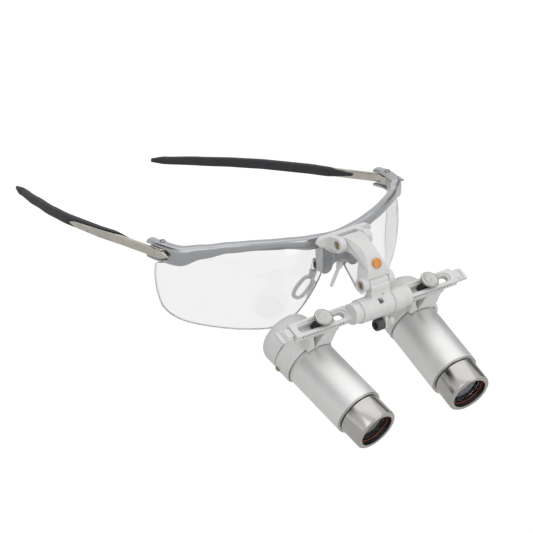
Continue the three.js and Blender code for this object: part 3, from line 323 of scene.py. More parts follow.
def screw_hole(sign):
    return rod((sign * HINGE_X, 0, TEMPLE_Z - 9), (sign * HINGE_X, 0, 4), HINGE_SCREW_RADIUS + GAP, 32)


bar_cuts = [bridge_scoop(LUG_Y - LUG_DEPTH / 2 - 0.6), bridge_scoop(LUG_Y + LUG_DEPTH / 2 + 0.6)]
for _, sign in SIDES:
    bar_cuts += [lens_body(sign, GAP), *temple_room(sign), screw_hole(sign)]
brow_bar = shaped("bar_of_lacquered_nylon", [bar_body(), nose_bridge()], bar_cuts, cell=0.2, rounds=12)


def finish_of(name):
    """A new material and its principled shader."""
    material = bpy.data.materials.new(name)
    material.use_nodes = True
    return material, material.node_tree, material.node_tree.nodes["Principled BSDF"]


def wired(tree, kind, inputs=(), **settings):
    """Adds a node, sets its properties, and joins or sets its inputs by name."""
    node = tree.nodes.new(kind)
    for key, value in settings.items():
        setattr(node, key, value)
    for key, value in dict(inputs).items():
        if isinstance(value, bpy.types.NodeSocket):
            tree.links.new(value, node.inputs[key])
        else:
            node.inputs[key].default_value = value
    return node


def effect(name, inputs, outputs):
    """An empty shader node group with named sockets."""
    group = bpy.data.node_groups.new(name, "ShaderNodeTree")
    for label, kind, value in inputs:
        socket = group.interface.new_socket(label, in_out="INPUT", socket_type=kind)
        if value is not None:
            socket.default_value = value
    for label, kind in outputs:
        group.interface.new_socket(label, in_out="OUTPUT", socket_type=kind)
    return group, group.nodes.new("NodeGroupInput"), group.nodes.new("NodeGroupOutput")


def placed(tree, group, inputs=()):
    node = tree.nodes.new("ShaderNodeGroup")
    node.node_tree = group
    for key, value in dict(inputs).items():
        if isinstance(value, bpy.types.NodeSocket):
            tree.links.new(value, node.inputs[key])
        else:
            node.inputs[key].default_value = value
    return node


def ranged(tree, value, low, high, out_low, out_high):
    """Maps a value from one range to another, clamped."""
    spread = wired(tree, "ShaderNodeMapRange", {"Value": value})
    for key, number in (("From Min", low), ("From Max", high), ("To Min", out_low), ("To Max", out_high)):
        if isinstance(number, bpy.types.NodeSocket):
            tree.links.new(number, spread.inputs[key])
        else:
            spread.inputs[key].default_value = number
    return spread.outputs["Result"]


def grain_effect():
    """Fine texture of a moulded or sprayed skin: pebbles, broad mottling and a roughness that drifts."""
    group, enter, leave = effect(
        "skin grain",
        [("Vector", "NodeSocketVector", None), ("Pebble Scale", "NodeSocketFloat", 3000.0),
         ("Mottle Scale", "NodeSocketFloat", 90.0), ("Rough Low", "NodeSocketFloat", 0.35),
         ("Rough High", "NodeSocketFloat", 0.5)],
        [("Mottle", "NodeSocketFloat"), ("Roughness", "NodeSocketFloat"), ("Height", "NodeSocketFloat")],
    )
    at = enter.outputs
    pebble = wired(group, "ShaderNodeTexNoise", {"Vector": at["Vector"], "Scale": at["Pebble Scale"],
                                                 "Detail": 2.0})
    mottle = wired(group, "ShaderNodeTexNoise", {"Vector": at["Vector"], "Scale": at["Mottle Scale"],
                                                 "Detail": 4.0})
    spread = ranged(group, mottle.outputs["Fac"], 0.3, 0.7, 0.0, 1.0)
    rough = ranged(group, mottle.outputs["Fac"], 0.3, 0.7, at["Rough Low"], at["Rough High"])
    group.links.new(spread, leave.inputs["Mottle"])
    group.links.new(rough, leave.inputs["Roughness"])
    group.links.new(pebble.outputs["Fac"], leave.inputs["Height"])
    return group


def marks_effect():
    """Traces of handling: cloudy finger smudges and sparse hairline scratches."""
    group, enter, leave = effect(
        "handling marks",
        [("Vector", "NodeSocketVector", None), ("Smudge Scale", "NodeSocketFloat", 60.0),
         ("Scratch Scale", "NodeSocketFloat", 500.0)],
        [("Smudge", "NodeSocketFloat"), ("Scratch", "NodeSocketFloat")],
    )
    at = enter.outputs
    cloud = wired(group, "ShaderNodeTexNoise", {"Vector": at["Vector"], "Scale": at["Smudge Scale"],
                                                "Detail": 5.0,
                                                "Distortion": 0.6})
    smudge = ranged(group, cloud.outputs["Fac"], 0.48, 0.72, 0.0, 1.0)
    streaks = []
    for turn in ((0.0, 0.2, 0.9), (0.4, 0.0, -0.7)):
        turned = wired(group, "ShaderNodeMapping", {"Vector": at["Vector"], "Rotation": turn,
                                                    "Scale": (1.0, 0.03, 1.0)})
        line = wired(group, "ShaderNodeTexNoise", {"Vector": turned.outputs["Vector"],
                                                   "Scale": at["Scratch Scale"],
                                                   "Detail": 1.0})
        streaks.append(ranged(group, line.outputs["Fac"], 0.71, 0.75, 0.0, 1.0))
    either = wired(group, "ShaderNodeMath", operation="MAXIMUM")
    group.links.new(streaks[0], either.inputs[0])
    group.links.new(streaks[1], either.inputs[1])
    group.links.new(smudge, leave.inputs["Smudge"])
    group.links.new(either.outputs["Value"], leave.inputs["Scratch"])
    return group


SKIN_GRAIN = grain_effect()
HANDLING = marks_effect()


def drifting(tree, factor, dark, light):
    """A colour that wanders between two tones."""
    tone = wired(tree, "ShaderNodeMix", {"Factor": factor}, data_type="RGBA")
    tone.inputs[6].default_value, tone.inputs[7].default_value = (*dark, 1), (*light, 1)
    return tone.outputs[2]


def set_sockets(shade, values):
    for key, value in values.items():
        shade.inputs[key.replace("_", " ")].default_value = value


def grained(name, dark, light, pebble, mottle, rough, bump, marks=0.0, **shader):
    """A skin whose tone drifts between two colours, with grain in relief and signs of handling."""
    material, tree, shade = finish_of(name)
    where = wired(tree, "ShaderNodeTexCoord").outputs["Object"]
    skin = placed(tree, SKIN_GRAIN, {"Vector": where, "Pebble Scale": pebble, "Mottle Scale": mottle,
                                     "Rough Low": rough[0], "Rough High": rough[1]})
    worn = placed(tree, HANDLING, {"Vector": where})
    rougher = wired(tree, "ShaderNodeMath", operation="MULTIPLY_ADD")
    tree.links.new(worn.outputs["Smudge"], rougher.inputs[0])
    rougher.inputs[1].default_value = marks
    tree.links.new(skin.outputs["Roughness"], rougher.inputs[2])
    relief = wired(tree, "ShaderNodeMath", operation="MULTIPLY_ADD")
    tree.links.new(worn.outputs["Scratch"], relief.inputs[0])
    relief.inputs[1].default_value = -1.5 * marks
    tree.links.new(skin.outputs["Height"], relief.inputs[2])
    lift = wired(tree, "ShaderNodeBump", {"Strength": bump, "Distance": 0.00005,
                                          "Height": relief.outputs["Value"]})
    tree.links.new(drifting(tree, skin.outputs["Mottle"], dark, light), shade.inputs["Base Color"])
    tree.links.new(rougher.outputs["Value"], shade.inputs["Roughness"])
    tree.links.new(lift.outputs["Normal"], shade.inputs["Normal"])
    set_sockets(shade, shader)
    return material


silver_lacquer = grained("satin_silver_lacquer", (0.39, 0.40, 0.415), (0.42, 0.43, 0.445), 9000, 120,
                         (0.24, 0.27), 0.01, 0.01, Metallic=0.85, Coat_Weight=0.4, Coat_Roughness=0.1)


def mounted(thing, body, slot, *nodes):
    """Hangs a finished piece from the body that carries it and hides the nodes that it stands for; slot is
    not used.
    """
    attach(thing, body)
    if nodes:
        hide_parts(*nodes)


def dress(thing, material, body, slot, *nodes):
    thing.data.materials.clear()
    thing.data.materials.append(material)
    mounted(thing, body, slot, *nodes)


dress(brow_bar, silver_lacquer, "frame", "bar", "brow_bar")

# ---- Lenses -----------------------------------------------------------------------------------
# Two clear polycarbonate lenses cut from one spherical curve, hard-coated. Each slides up into the
# bar's groove and butts against the nose lug, and its lower edge is free and polished.


def clear_glass(name, colour, ior, rough=(0.0, 0.06), coat=0.0):
    material, tree, shade = finish_of(name)
    where = wired(tree, "ShaderNodeTexCoord").outputs["Object"]
    worn = placed(tree, HANDLING, {"Vector": where, "Smudge Scale": 45.0, "Scratch Scale": 700.0})
    tree.links.new(ranged(tree, worn.outputs["Smudge"], 0.0, 1.0, *rough), shade.inputs["Roughness"])
    drift = wired(tree, "ShaderNodeTexNoise", {"Vector": where, "Scale": 25.0})
    paler = [min(1.0, c * 1.02) for c in colour]
    tree.links.new(drifting(tree, drift.outputs["Fac"], colour, paler), shade.inputs["Base Color"])
    set_sockets(shade, {"Transmission Weight": 1.0, "IOR": ior, "Coat Weight": coat})
    return material


lens_clear = clear_glass("hard_coated_polycarbonate", (0.82, 0.82, 0.82), 1.45)
lens_rim = grained("matt_lens_rim", (0.86, 0.86, 0.88), (0.92, 0.92, 0.94), 5000, 120, (0.3, 0.42), 0.05,
                   0.1,
                  Transmission_Weight=0.6)
LENS_SKIN_ROWS = 21
for side, sign in SIDES:
    lens = settle(raw_object(f"lens_{side}_of_clear_sheet", lens_body(sign)), 60)
    dress(lens, lens_clear, "frame", "lens", f"lens_{side}")
    lens.data.materials.append(lens_rim)
    rim_faces = range(len(LENS_EDGE) * LENS_SKIN_ROWS, len(LENS_EDGE) * (LENS_SKIN_ROWS + 5))
    for face in lens.data.polygons:
        face.material_index = 1 if face.index in rim_faces else 0

# ---- Temples ----------------------------------------------------------------------------------
# Each temple is a nickel-plated spring steel blade with a pressed panel, pointed where it enters the
# bar's fork. A charcoal rubber sleeve is moulded round its inner side and on over the ear.
CORE_SINK, SLEEVE_SINK = -0.8, -0.4
# distance behind the hinge, middle outside the hinge, thickness, height
BLADE_ROWS = (
    (BLADE_NOSE, 2.9, 0.8, 0.5), (-4, 3, 2.4, 3.4), (6, 3.1, 2.4, 4.4), (20, 3.6, 2.4, 4.4),
    (45, 5, 2.4, 4.2), (60, 5.3, 2.4, 3.4), (71, 5.2, 0.9, 0.6),
)
SLEEVE_ROWS = (
    (20, 1.9, 0.6, 1.6), (34, 3.2, 3.6, 4.7), (45, 4.2, 3.6, 4.9), (71, 4.4, 3.6, 4.9),
    (87, 3, 3.4, 4.8), (106, 0, 3.4, 4.5), (125, -3.6, 3, 3.8), (131.5, -5, 1.6, 2),
)
TEMPLE_OPEN = {"right": 0.0, "left": 22.1}


def temple_sweep(rows, sink, grow=0.0, steps=150, sides=36):
    start, end = rows[0][0], rows[-1][0]

    def place(t):
        y = start + (end - start) * t
        return Vector((along(rows, y, 1), y, TEMPLE_Z - TEMPLE_DROOP * y + sink))

    def half_sizes(t):
        y = start + (end - start) * t
        return along(rows, y, 2) / 2 + grow, along(rows, y, 3) / 2 + grow

    return swept(place, half_sizes, steps, sides, 3.4)


def hung(part, side, sign):
    """Turns a part laid out for the left temple, open, to where that side's temple stands."""
    turn = Matrix.Rotation(math.radians(sign * TEMPLE_OPEN[side]), 3, "Z")
    points, faces = part
    moved = [turn @ Vector((sign * p[0], p[1], p[2])) + Vector((sign * HINGE_X, 0, 0)) for p in points]
    return moved, faces


def panel_recess():
    """The pressed panel in the blade's outer face, with round ends."""
    ring = []
    for i in range(48):
        a = math.tau * i / 48
        y = 39.5 + 13.5 * math.copysign(abs(math.cos(a)) ** 0.5, math.cos(a))
        bulge = math.copysign(abs(math.sin(a)) ** 0.6, math.sin(a))
        z = TEMPLE_Z - TEMPLE_DROOP * y + CORE_SINK + 1.25 * bulge
        ring.append((y, z))
    inner = [(along(BLADE_ROWS, y, 1) + 0.85, y, z) for y, z in ring]
    return loft([inner, [(12.0, y, z) for y, z in ring]])


def blade_parts():
    eye = rod((0, 0, TEMPLE_Z - 1.8), (0, 0, TEMPLE_Z + 1.8), 3.1)
    neck = block(0, 2.9, -1.8, 5.5, TEMPLE_Z - 1.4, TEMPLE_Z + 1.4)
    hole = rod((0, 0, TEMPLE_Z - 4), (0, 0, TEMPLE_Z + 4), HINGE_SCREW_RADIUS + GAP, 32)
    return [temple_sweep(BLADE_ROWS, CORE_SINK), eye, neck], [hole, panel_recess()]


nickel = grained("satin_nickel_plate", (0.52, 0.49, 0.44), (0.62, 0.59, 0.53), 5200, 150,
                 (0.24, 0.34), 0.07, 0.05, Metallic=1.0)
charcoal_rubber = grained("charcoal_rubber", (0.017, 0.018, 0.020), (0.027, 0.028, 0.031), 3600, 200,
                          (0.50, 0.68), 0.30, 0.08, Specular_IOR_Level=0.45)
for side, sign in SIDES:
    adds, cuts = [[hung(part, side, sign) for part in parts] for parts in blade_parts()]
    blade = shaped(f"temple_blade_{side}", adds, cuts, cell=0.16, rounds=4)
    dress(blade, nickel, f"temple_{side}", "temple_metal", f"temple_metal_{side}")
    sleeve = shaped(f"temple_sleeve_{side}_rubber",
                    [hung(temple_sweep(SLEEVE_ROWS, SLEEVE_SINK), side, sign)],
                    [hung(temple_sweep(BLADE_ROWS, CORE_SINK, GAP), side, sign)], cell=0.22, rounds=5)
    dress(sleeve, charcoal_rubber, f"temple_{side}", "sleeve", f"temple_sleeve_{side}")

# ---- Screws -----------------------------------------------------------------------------------
# Small slotted steel screws hold the temples in the bar's forks, draw the clamp together, and pin
# the two hinges of the flip-up arm. They are turned; those of the arm's hinges are plated a dull brass tone
# and sit in recesses, the others are plain dull steel.
HINGE_HEAD_RADIUS, HINGE_HEAD_HEIGHT = 1.35, 0.7
HINGE_HEAD_SEAT, HINGE_SCREW_END = 0.4, -8.6
JAW_BACK_Y, JAW_SCREW_X, JAW_SCREW_Z = -35.4, 4.0, -4.6
BLOCK_BACK_Y, JAW_SCREW_BITE = -45.2, 1.4
UPPER_PIVOT, LOWER_PIVOT = (-52.4, 1.1), (-68.7, -12.5)     # in (y, z)
PIVOT_HEAD_RADIUS, PIVOT_HEAD_SEAT, PIVOT_HEAD_HEIGHT = 1.75, 1.35, 0.75


def recipe(name, inputs):
    """An empty geometry tree: a named geometry and sizes in, one geometry out."""
    tree = bpy.data.node_groups.new(name, "GeometryNodeTree")
    tree.interface.new_socket("Geometry", in_out="INPUT", socket_type="NodeSocketGeometry")
    for label, kind, value in inputs:
        socket = tree.interface.new_socket(label, in_out="INPUT", socket_type=kind)
        if value is not None:
            socket.default_value = value
    tree.interface.new_socket("Geometry", in_out="OUTPUT", socket_type="NodeSocketGeometry")
    return tree, wired(tree, "NodeGroupInput").outputs, wired(tree, "NodeGroupOutput").inputs


def joined_mesh(tree, operation, *meshes):
    """Mesh boolean of several node outputs; for a difference the first is what is cut."""
    knife = wired(tree, "GeometryNodeMeshBoolean", operation=operation, solver="MANIFOLD")
    if operation == "DIFFERENCE":
        tree.links.new(meshes[0], knife.inputs["Mesh 1"])
        meshes = meshes[1:]
    for mesh in reversed(meshes):
        tree.links.new(mesh, knife.inputs["Mesh 2"])
    return knife.outputs["Mesh"]


def sum_of(tree, operation, first, second):
    node = wired(tree, "ShaderNodeMath", operation=operation)
    for socket, value in zip(node.inputs, (first, second)):
        if isinstance(value, bpy.types.NodeSocket):
            tree.links.new(value, socket)
        else:
            socket.default_value = value
    return node.outputs["Value"]


def vector(tree, **parts):
    return wired(tree, "ShaderNodeCombineXYZ", parts).outputs["Vector"]


def raised(tree, mesh, height):
    move = {"Geometry": mesh, "Translation": vector(tree, Z=height)}
    return wired(tree, "GeometryNodeTransform", move).outputs["Geometry"]


def finished(tree, geometry, sizes, leave):
    """The close of every recipe: real geometry that carries its material."""
    real = wired(tree, "GeometryNodeRealizeInstances", {"Geometry": geometry}).outputs["Geometry"]
    dressed = wired(tree, "GeometryNodeSetMaterial", {"Geometry": real, "Material": sizes["Material"]})
    tree.links.new(dressed.outputs["Geometry"], leave["Geometry"])
    return tree


def slotted_screw_recipe():
    tree, size, leave = recipe("slotted screws", [
        ("Head Radius", "NodeSocketFloat", 0.0016), ("Head Height", "NodeSocketFloat", 0.0007),
        ("Shank Radius", "NodeSocketFloat", 0.0009), ("Shank Length", "NodeSocketFloat", 0.008),
        ("Slot Width", "NodeSocketFloat", 0.0005), ("Slot Depth", "NodeSocketFloat", 0.0004),
        ("Seed", "NodeSocketInt", 3), ("Material", "NodeSocketMaterial", None)])
    rim = sum_of(tree, "MULTIPLY", size["Head Height"], 0.6)
    disc = wired(tree, "GeometryNodeMeshCone", {"Vertices": 40, "Radius Top": size["Head Radius"],
                                                "Radius Bottom": size["Head Radius"],
                                                "Depth": rim}).outputs["Mesh"]
    crown = wired(tree, "GeometryNodeMeshCone", {
        "Vertices": 40, "Radius Top": sum_of(tree, "MULTIPLY", size["Head Radius"], 0.8),
        "Radius Bottom": size["Head Radius"], "Depth": sum_of(tree, "MULTIPLY", size["Head Height"], 0.4)})
    shank = wired(tree, "GeometryNodeMeshCone", {"Vertices": 24, "Radius Top": size["Shank Radius"],
                                                 "Radius Bottom": size["Shank Radius"],
                                                 "Depth": size["Shank Length"]})
    below = sum_of(tree, "MULTIPLY", size["Shank Length"], -0.999)
    crown = raised(tree, crown.outputs["Mesh"], sum_of(tree, "MULTIPLY", rim, 0.999))
    body = joined_mesh(tree, "UNION", disc, crown, raised(tree, shank.outputs["Mesh"], below))
    bar = vector(tree, X=sum_of(tree, "MULTIPLY", size["Head Radius"], 2.4), Y=size["Slot Width"],
                 Z=sum_of(tree, "MULTIPLY", size["Slot Depth"], 2.0))
    cutter = wired(tree, "GeometryNodeMeshCube", {"Size": bar}).outputs["Mesh"]
    screw = joined_mesh(tree, "DIFFERENCE", body, raised(tree, cutter, size["Head Height"]))
    facing = wired(tree, "GeometryNodeInputNamedAttribute", {"Name": "facing"}, data_type="FLOAT_VECTOR")
    aim = wired(tree, "FunctionNodeAlignRotationToVector", {"Vector": facing.outputs["Attribute"]},
                axis="Z")
    turn = wired(tree, "FunctionNodeRandomValue", {"Seed": size["Seed"]}, data_type="FLOAT")
    turn.inputs[3].default_value = math.pi
    spin = wired(tree, "FunctionNodeEulerToRotation", {"Euler": vector(tree, Z=turn.outputs[1])})
    driven = wired(tree, "FunctionNodeRotateRotation", {
        "Rotation": aim.outputs["Rotation"], "Rotate By": spin.outputs["Rotation"]}, rotation_space="LOCAL")
    placed_screws = wired(tree, "GeometryNodeInstanceOnPoints", {
        "Points": size["Geometry"], "Instance": screw, "Rotation": driven.outputs["Rotation"]})
    return finished(tree, placed_screws.outputs["Instances"], size, leave)


SLOTTED_SCREWS = slotted_screw_recipe()


def grown(thing, tree, crease=40, **sizes):
    """Runs a recipe on a piece with the given sizes, and keeps its result as a plain mesh."""
    step = thing.modifiers.new(tree.name, "NODES")
    step.node_group = tree
    for item in tree.interface.items_tree:
        key = item.name.replace(" ", "_")
        if item.in_out == "INPUT" and key in sizes:
            step[item.identifier] = sizes[key]
    return settle(thing, crease)


def screw_set(name, places, material, **sizes):
    """Screws of one size: each place is the seat under the head and the way the head faces."""
    mesh = bpy.data.meshes.new(name)
    mesh.from_pydata(in_frame([at for at, _ in places]), [], [])
    facing = mesh.attributes.new("facing", "FLOAT_VECTOR", "POINT")
    for i, (_, way) in enumerate(places):
        facing.data[i].vector = way
    thing = bpy.data.objects.new(name, mesh)
    bpy.context.scene.collection.objects.link(thing)
    lengths = {key: value * MM for key, value in sizes.items()}
    return grown(thing, SLOTTED_SCREWS, Material=material, **lengths)


def turned_effect():
    """Concentric lines that a lathe tool leaves on a flat or round face about the Z axis."""
    group, enter, leave = effect(
        "lathe lines",
        [("Vector", "NodeSocketVector", None), ("Pitch", "NodeSocketFloat", 9000.0),
         ("Rough Low", "NodeSocketFloat", 0.2), ("Rough High", "NodeSocketFloat", 0.3)],
        [("Roughness", "NodeSocketFloat"), ("Height", "NodeSocketFloat")])
    at = enter.outputs
    parts = wired(group, "ShaderNodeSeparateXYZ", {"Vector": at["Vector"]}).outputs
    radius = wired(group, "ShaderNodeVectorMath", {0: vector(group, X=parts["X"], Y=parts["Y"])},
                   operation="LENGTH")
    run = vector(group, X=radius.outputs["Value"], Y=parts["Z"])
    lines = wired(group, "ShaderNodeTexNoise", {"Vector": run, "Scale": at["Pitch"], "Detail": 1.0})
    group.links.new(ranged(group, lines.outputs["Fac"], 0.3, 0.7, at["Rough Low"], at["Rough High"]),
                    leave.inputs["Roughness"])
    group.links.new(lines.outputs["Fac"], leave.inputs["Height"])
    return group


LATHE_LINES = turned_effect()


def turned_metal(name, dark, light, rough, bump, at=None, pitch=9000, marks=0.1, **shader):
    """Machined metal: lathe lines about an axis, tone that drifts, and smudges from fingers."""
    material, tree, shade = finish_of(name)
    where = wired(tree, "ShaderNodeTexCoord").outputs["Object"]
    centred = where
    if at is not None:
        inverse = at.inverted()
        centred = wired(tree, "ShaderNodeMapping", {"Vector": where, "Location": inverse.to_translation(),
                                                    "Rotation": inverse.to_euler()}).outputs["Vector"]
    lines = placed(tree, LATHE_LINES, {"Vector": centred, "Pitch": pitch, "Rough Low": rough[0],
                                       "Rough High": rough[1]})
    worn = placed(tree, HANDLING, {"Vector": where, "Smudge Scale": 110.0})
    rougher = sum_of(tree, "ADD", lines.outputs["Roughness"],
                     sum_of(tree, "MULTIPLY", worn.outputs["Smudge"], marks))
    drift = wired(tree, "ShaderNodeTexNoise", {"Vector": where, "Scale": 160.0, "Detail": 3.0})
    lift = wired(tree, "ShaderNodeBump", {"Strength": bump, "Distance": 0.00003,
                                          "Height": lines.outputs["Height"]})
    tree.links.new(drifting(tree, drift.outputs["Fac"], dark, light), shade.inputs["Base Color"])
    tree.links.new(rougher, shade.inputs["Roughness"])
    tree.links.new(lift.outputs["Normal"], shade.inputs["Normal"])
    set_sockets(shade, {"Metallic": 1.0, **shader})
    return material


brassy_steel = turned_metal("brass_toned_screw_steel", (0.30, 0.24, 0.15), (0.42, 0.34, 0.22), (0.26, 0.4),
                            0.3)
dull_steel = turned_metal("dull_screw_steel", (0.34, 0.33, 0.32), (0.46, 0.45, 0.43), (0.28, 0.42), 0.3)
UP, BACK = (0, 0, 1), (0, 1, 0)
hinge_seats = [((s * HINGE_X, 0, HINGE_HEAD_SEAT), UP) for _, s in SIDES]
hinge_screws = screw_set("temple_screws_slotted", hinge_seats, dull_steel, Head_Radius=HINGE_HEAD_RADIUS,
                         Head_Height=HINGE_HEAD_HEIGHT,
                         Shank_Radius=HINGE_SCREW_RADIUS, Shank_Length=HINGE_HEAD_SEAT - HINGE_SCREW_END)
clamp_seats = [((s * JAW_SCREW_X, JAW_BACK_Y + GAP, JAW_SCREW_Z), BACK) for _, s in SIDES]
clamp_screws = screw_set("clamp_screws_slotted", clamp_seats, dull_steel, Head_Radius=1.7, Head_Height=0.9,
                         Shank_Radius=0.8,
                         Shank_Length=JAW_BACK_Y + GAP - BLOCK_BACK_Y + JAW_SCREW_BITE)


def pivot_screws(name, outer, pivot):
    seat = outer - PIVOT_HEAD_SEAT
    return screw_set(name, [((s * seat, *pivot), (s, 0, 0)) for _, s in SIDES], brassy_steel,
                     Head_Radius=PIVOT_HEAD_RADIUS, Head_Height=PIVOT_HEAD_HEIGHT, Shank_Radius=1.0,
                     Shank_Length=seat - 1.5, Slot_Width=0.55, Slot_Depth=0.45)


UPPER_EAR_INNER, UPPER_EAR_OUTER, UPPER_EAR_RADIUS = 5.6, 9.0, 3.6
LOWER_EAR_INNER, LOWER_EAR_OUTER, LOWER_EAR_RADIUS = 5.6, 8.8, 3.3
for made, body, nodes in (
    (hinge_screws, "frame", "temple_screw"), (clamp_screws, "frame", "clamp_screw"),
    (pivot_screws("upper_hinge_screws_slotted", UPPER_EAR_OUTER, UPPER_PIVOT), "frame",
     "upper_pivot_screw"),
    (pivot_screws("lower_hinge_screws_slotted", LOWER_EAR_OUTER, LOWER_PIVOT), "arm", "tilt_pivot_screw"),
):
    mounted(made, body, "screw", f"{nodes}_right", f"{nodes}_left")

# ---- Nose pads --------------------------------------------------------------------------------
# Soft white silicone loops that rest on the sides of the nose. Each loop draws out at its top into
# a stalk that is pushed over a clear plastic arm, and the arm plugs into the back of the bar's lug.
PAD_CENTRE = (9.8, -29.6, -27.3)
PAD_LENGTH, PAD_WIDTH, PAD_CORD = 16.4, 7.0, 1.9
PAD_LEAN, PAD_SPLAY, PAD_TURN = 21, 25, 30
PAD_ARM_RADIUS = 1.1


def turned(x, y, z):
    """Turns about X, then Y, then Z, in degrees."""
    axes = [Matrix.Rotation(math.radians(angle), 3, axis) for angle, axis in ((z, "Z"), (y, "Y"), (x, "X"))]
    return axes[0] @ axes[1] @ axes[2]


def on_pad(sign, point):
    turn = turned(PAD_LEAN, -sign * PAD_SPLAY, sign * PAD_TURN)
    return turn @ Vector(point) + Vector((sign * PAD_CENTRE[0], PAD_CENTRE[1], PAD_CENTRE[2]))


def cord_loop(sign):
    """A closed loop of oval section, a little flattened where it meets the skin."""
    rings = []
    for i in range(72):
        a = math.tau * i / 72
        c = math.copysign(abs(math.cos(a)) ** 0.8, math.cos(a))
        s = math.copysign(abs(math.sin(a)) ** 0.8, math.sin(a))
        ring = []
        for j in range(16):
            b = math.tau * j / 16
            out = PAD_CORD * 0.5 * math.cos(b)
            width, length = (PAD_WIDTH - PAD_CORD) / 2 + out, (PAD_LENGTH - PAD_CORD) / 2 + out
            ring.append(on_pad(sign, (width * c, PAD_CORD * 0.45 * math.sin(b), length * s)))
        rings.append(ring)
    return loft(rings + [rings[0]], capped=False)


def piped(route, radii, steps=40, sides=20):
    """A round rod of changing thickness along a curve through the given points."""
    at = smooth_path(route)
    rings = []
    for step in range(steps + 1):
        t = step / steps
        heading = (at(min(t + 1e-3, 1)) - at(max(t - 1e-3, 0))).normalized()
        turn = heading.to_track_quat("Z", "Y")
        reach = radii[0] + (radii[1] - radii[0]) * t
        rings.append([at(t) + turn @ Vector((u, v, 0)) for u, v in circle(reach, sides)])
    return loft(rings)


def pad_arm_route(sign):
    lug_back = LUG_Y + LUG_DEPTH / 2
    rise = PAD_LENGTH / 2 + GAP + PAD_ARM_RADIUS
    return [(sign * LUG_X, lug_back + GAP + PAD_ARM_RADIUS, 4 - LUG_DROP),
            (sign * LUG_X, lug_back + 2.6, -LUG_DROP),
            on_pad(sign, (0, 0, rise))]


silicone = grained("milky_silicone", (0.80, 0.80, 0.78), (0.88, 0.88, 0.86), 4000, 160, (0.36, 0.5), 0.06,
                   0.1,
                   Subsurface_Weight=0.25, Subsurface_Scale=0.002, Subsurface_Radius=(1, 1, 1),
                   Specular_IOR_Level=0.4)
arm_clear = clear_glass("clear_pad_arm_resin", (0.90, 0.91, 0.92), 1.46, (0.04, 0.12))
for side, sign in SIDES:
    stalk_end = smooth_path(pad_arm_route(sign))(0.72)
    stalk = piped([on_pad(sign, (0, 0, PAD_LENGTH / 2 - 1.2)), on_pad(sign, (0, 0, PAD_LENGTH / 2 + 1)),
                   stalk_end],
                  (1.5, 1.75))
    core = piped(pad_arm_route(sign), (PAD_ARM_RADIUS + 0.05, PAD_ARM_RADIUS + 0.05))
    pad = shaped(f"nose_pad_{side}_silicone", [cord_loop(sign), stalk], [core], cell=0.14, rounds=6)
    dress(pad, silicone, "frame", "silicone", f"nose_pad_{side}")
    arm = settle(raw_object(f"pad_arm_{side}_clear", piped(pad_arm_route(sign), (1.25, PAD_ARM_RADIUS))),
                 60)
    dress(arm, arm_clear, "frame", "pad_arm", f"pad_arm_{side}")

# ---- Bridge clamp -----------------------------------------------------------------------------
# The loupe hangs from the bar by a two-part clamp of moulded grey nylon: a block with chamfered ends
# in front of the bridge, with two ears for the hinge, and a plate behind it that two screws draw up.
BLOCK_FRONT_Y, BLOCK_TOP, BLOCK_BOTTOM = -48.0, 4.2, -5.0
BLOCK_HALF = 15.5
JAW_HALF, JAW_TOP, JAW_BOTTOM = 6.5, -2.4, -10.0
UPPER_BARREL_RADIUS = 3.3
PIVOT_HOLE_RADIUS = 1.3


def slab_xz(outline, y0, y1):
    """A solid drawn in (x, z) and given a thickness along Y."""
    return loft([[(x, y0, z) for x, z in outline], [(x, y1, z) for x, z in outline]])


def ear_cuts(outer, centre, depth=1.75):
    """The cross hole and the two recesses for the screw heads."""
    cuts = [rod_x(PIVOT_HOLE_RADIUS, -outer - 1, outer + 1, centre, 32)]
    for _, sign in SIDES:
        cuts.append(rod_x(PIVOT_HEAD_RADIUS + 0.25, sign * (outer - depth), sign * (outer + 1), centre, 40))
    return cuts


def clamp_screw_room(sign):
    start, end = BLOCK_BACK_Y - JAW_SCREW_BITE - GAP, JAW_BACK_Y + 1
    return rod((sign * JAW_SCREW_X, start, JAW_SCREW_Z), (sign * JAW_SCREW_X, end, JAW_SCREW_Z), 1.1, 32)


end_shape = [(-BLOCK_HALF, 1.5), (-13.6, -0.4), (13.6, -0.4), (BLOCK_HALF, 1.5), (14.7, 3.2),
             (12.7, BLOCK_TOP),
             (-12.7, BLOCK_TOP), (-14.7, 3.2)]
middle_shape = [(-12.4, BLOCK_TOP), (-13.4, 0.6), (-9.6, -3.0), (-6.4, BLOCK_BOTTOM), (6.4, BLOCK_BOTTOM),
                (9.6, -3.0), (13.4, 0.6), (12.4, BLOCK_TOP)]
block_adds = [slab_xz(end_shape, -47.4, BLOCK_BACK_Y), slab_xz(middle_shape, BLOCK_FRONT_Y, BLOCK_BACK_Y)]
py, pz = UPPER_PIVOT
for _, sign in SIDES:
    x0, x1 = sorted((sign * UPPER_EAR_INNER, sign * UPPER_EAR_OUTER))
    block_adds += [rod_x(UPPER_EAR_RADIUS, sign * UPPER_EAR_INNER, sign * UPPER_EAR_OUTER, UPPER_PIVOT),
                   block(x0, x1, py, BLOCK_FRONT_Y + 1, pz - UPPER_EAR_RADIUS + 0.6,
                         pz + UPPER_EAR_RADIUS - 0.6)]
block_cuts = ear_cuts(UPPER_EAR_OUTER, UPPER_PIVOT) + [clamp_screw_room(s) for _, s in SIDES]
block_cuts.append(rod_x(UPPER_BARREL_RADIUS + RUN, -UPPER_EAR_INNER, UPPER_EAR_INNER, UPPER_PIVOT))
clamp_block = shaped("clamp_block_nylon", block_adds, block_cuts, cell=0.13, rounds=8)
jaw_shape = [(-JAW_HALF, JAW_TOP), (-JAW_HALF, JAW_BOTTOM + 1.6), (-JAW_HALF + 1.6, JAW_BOTTOM),
             (JAW_HALF - 1.6, JAW_BOTTOM), (JAW_HALF, JAW_BOTTOM + 1.6), (JAW_HALF, JAW_TOP)]
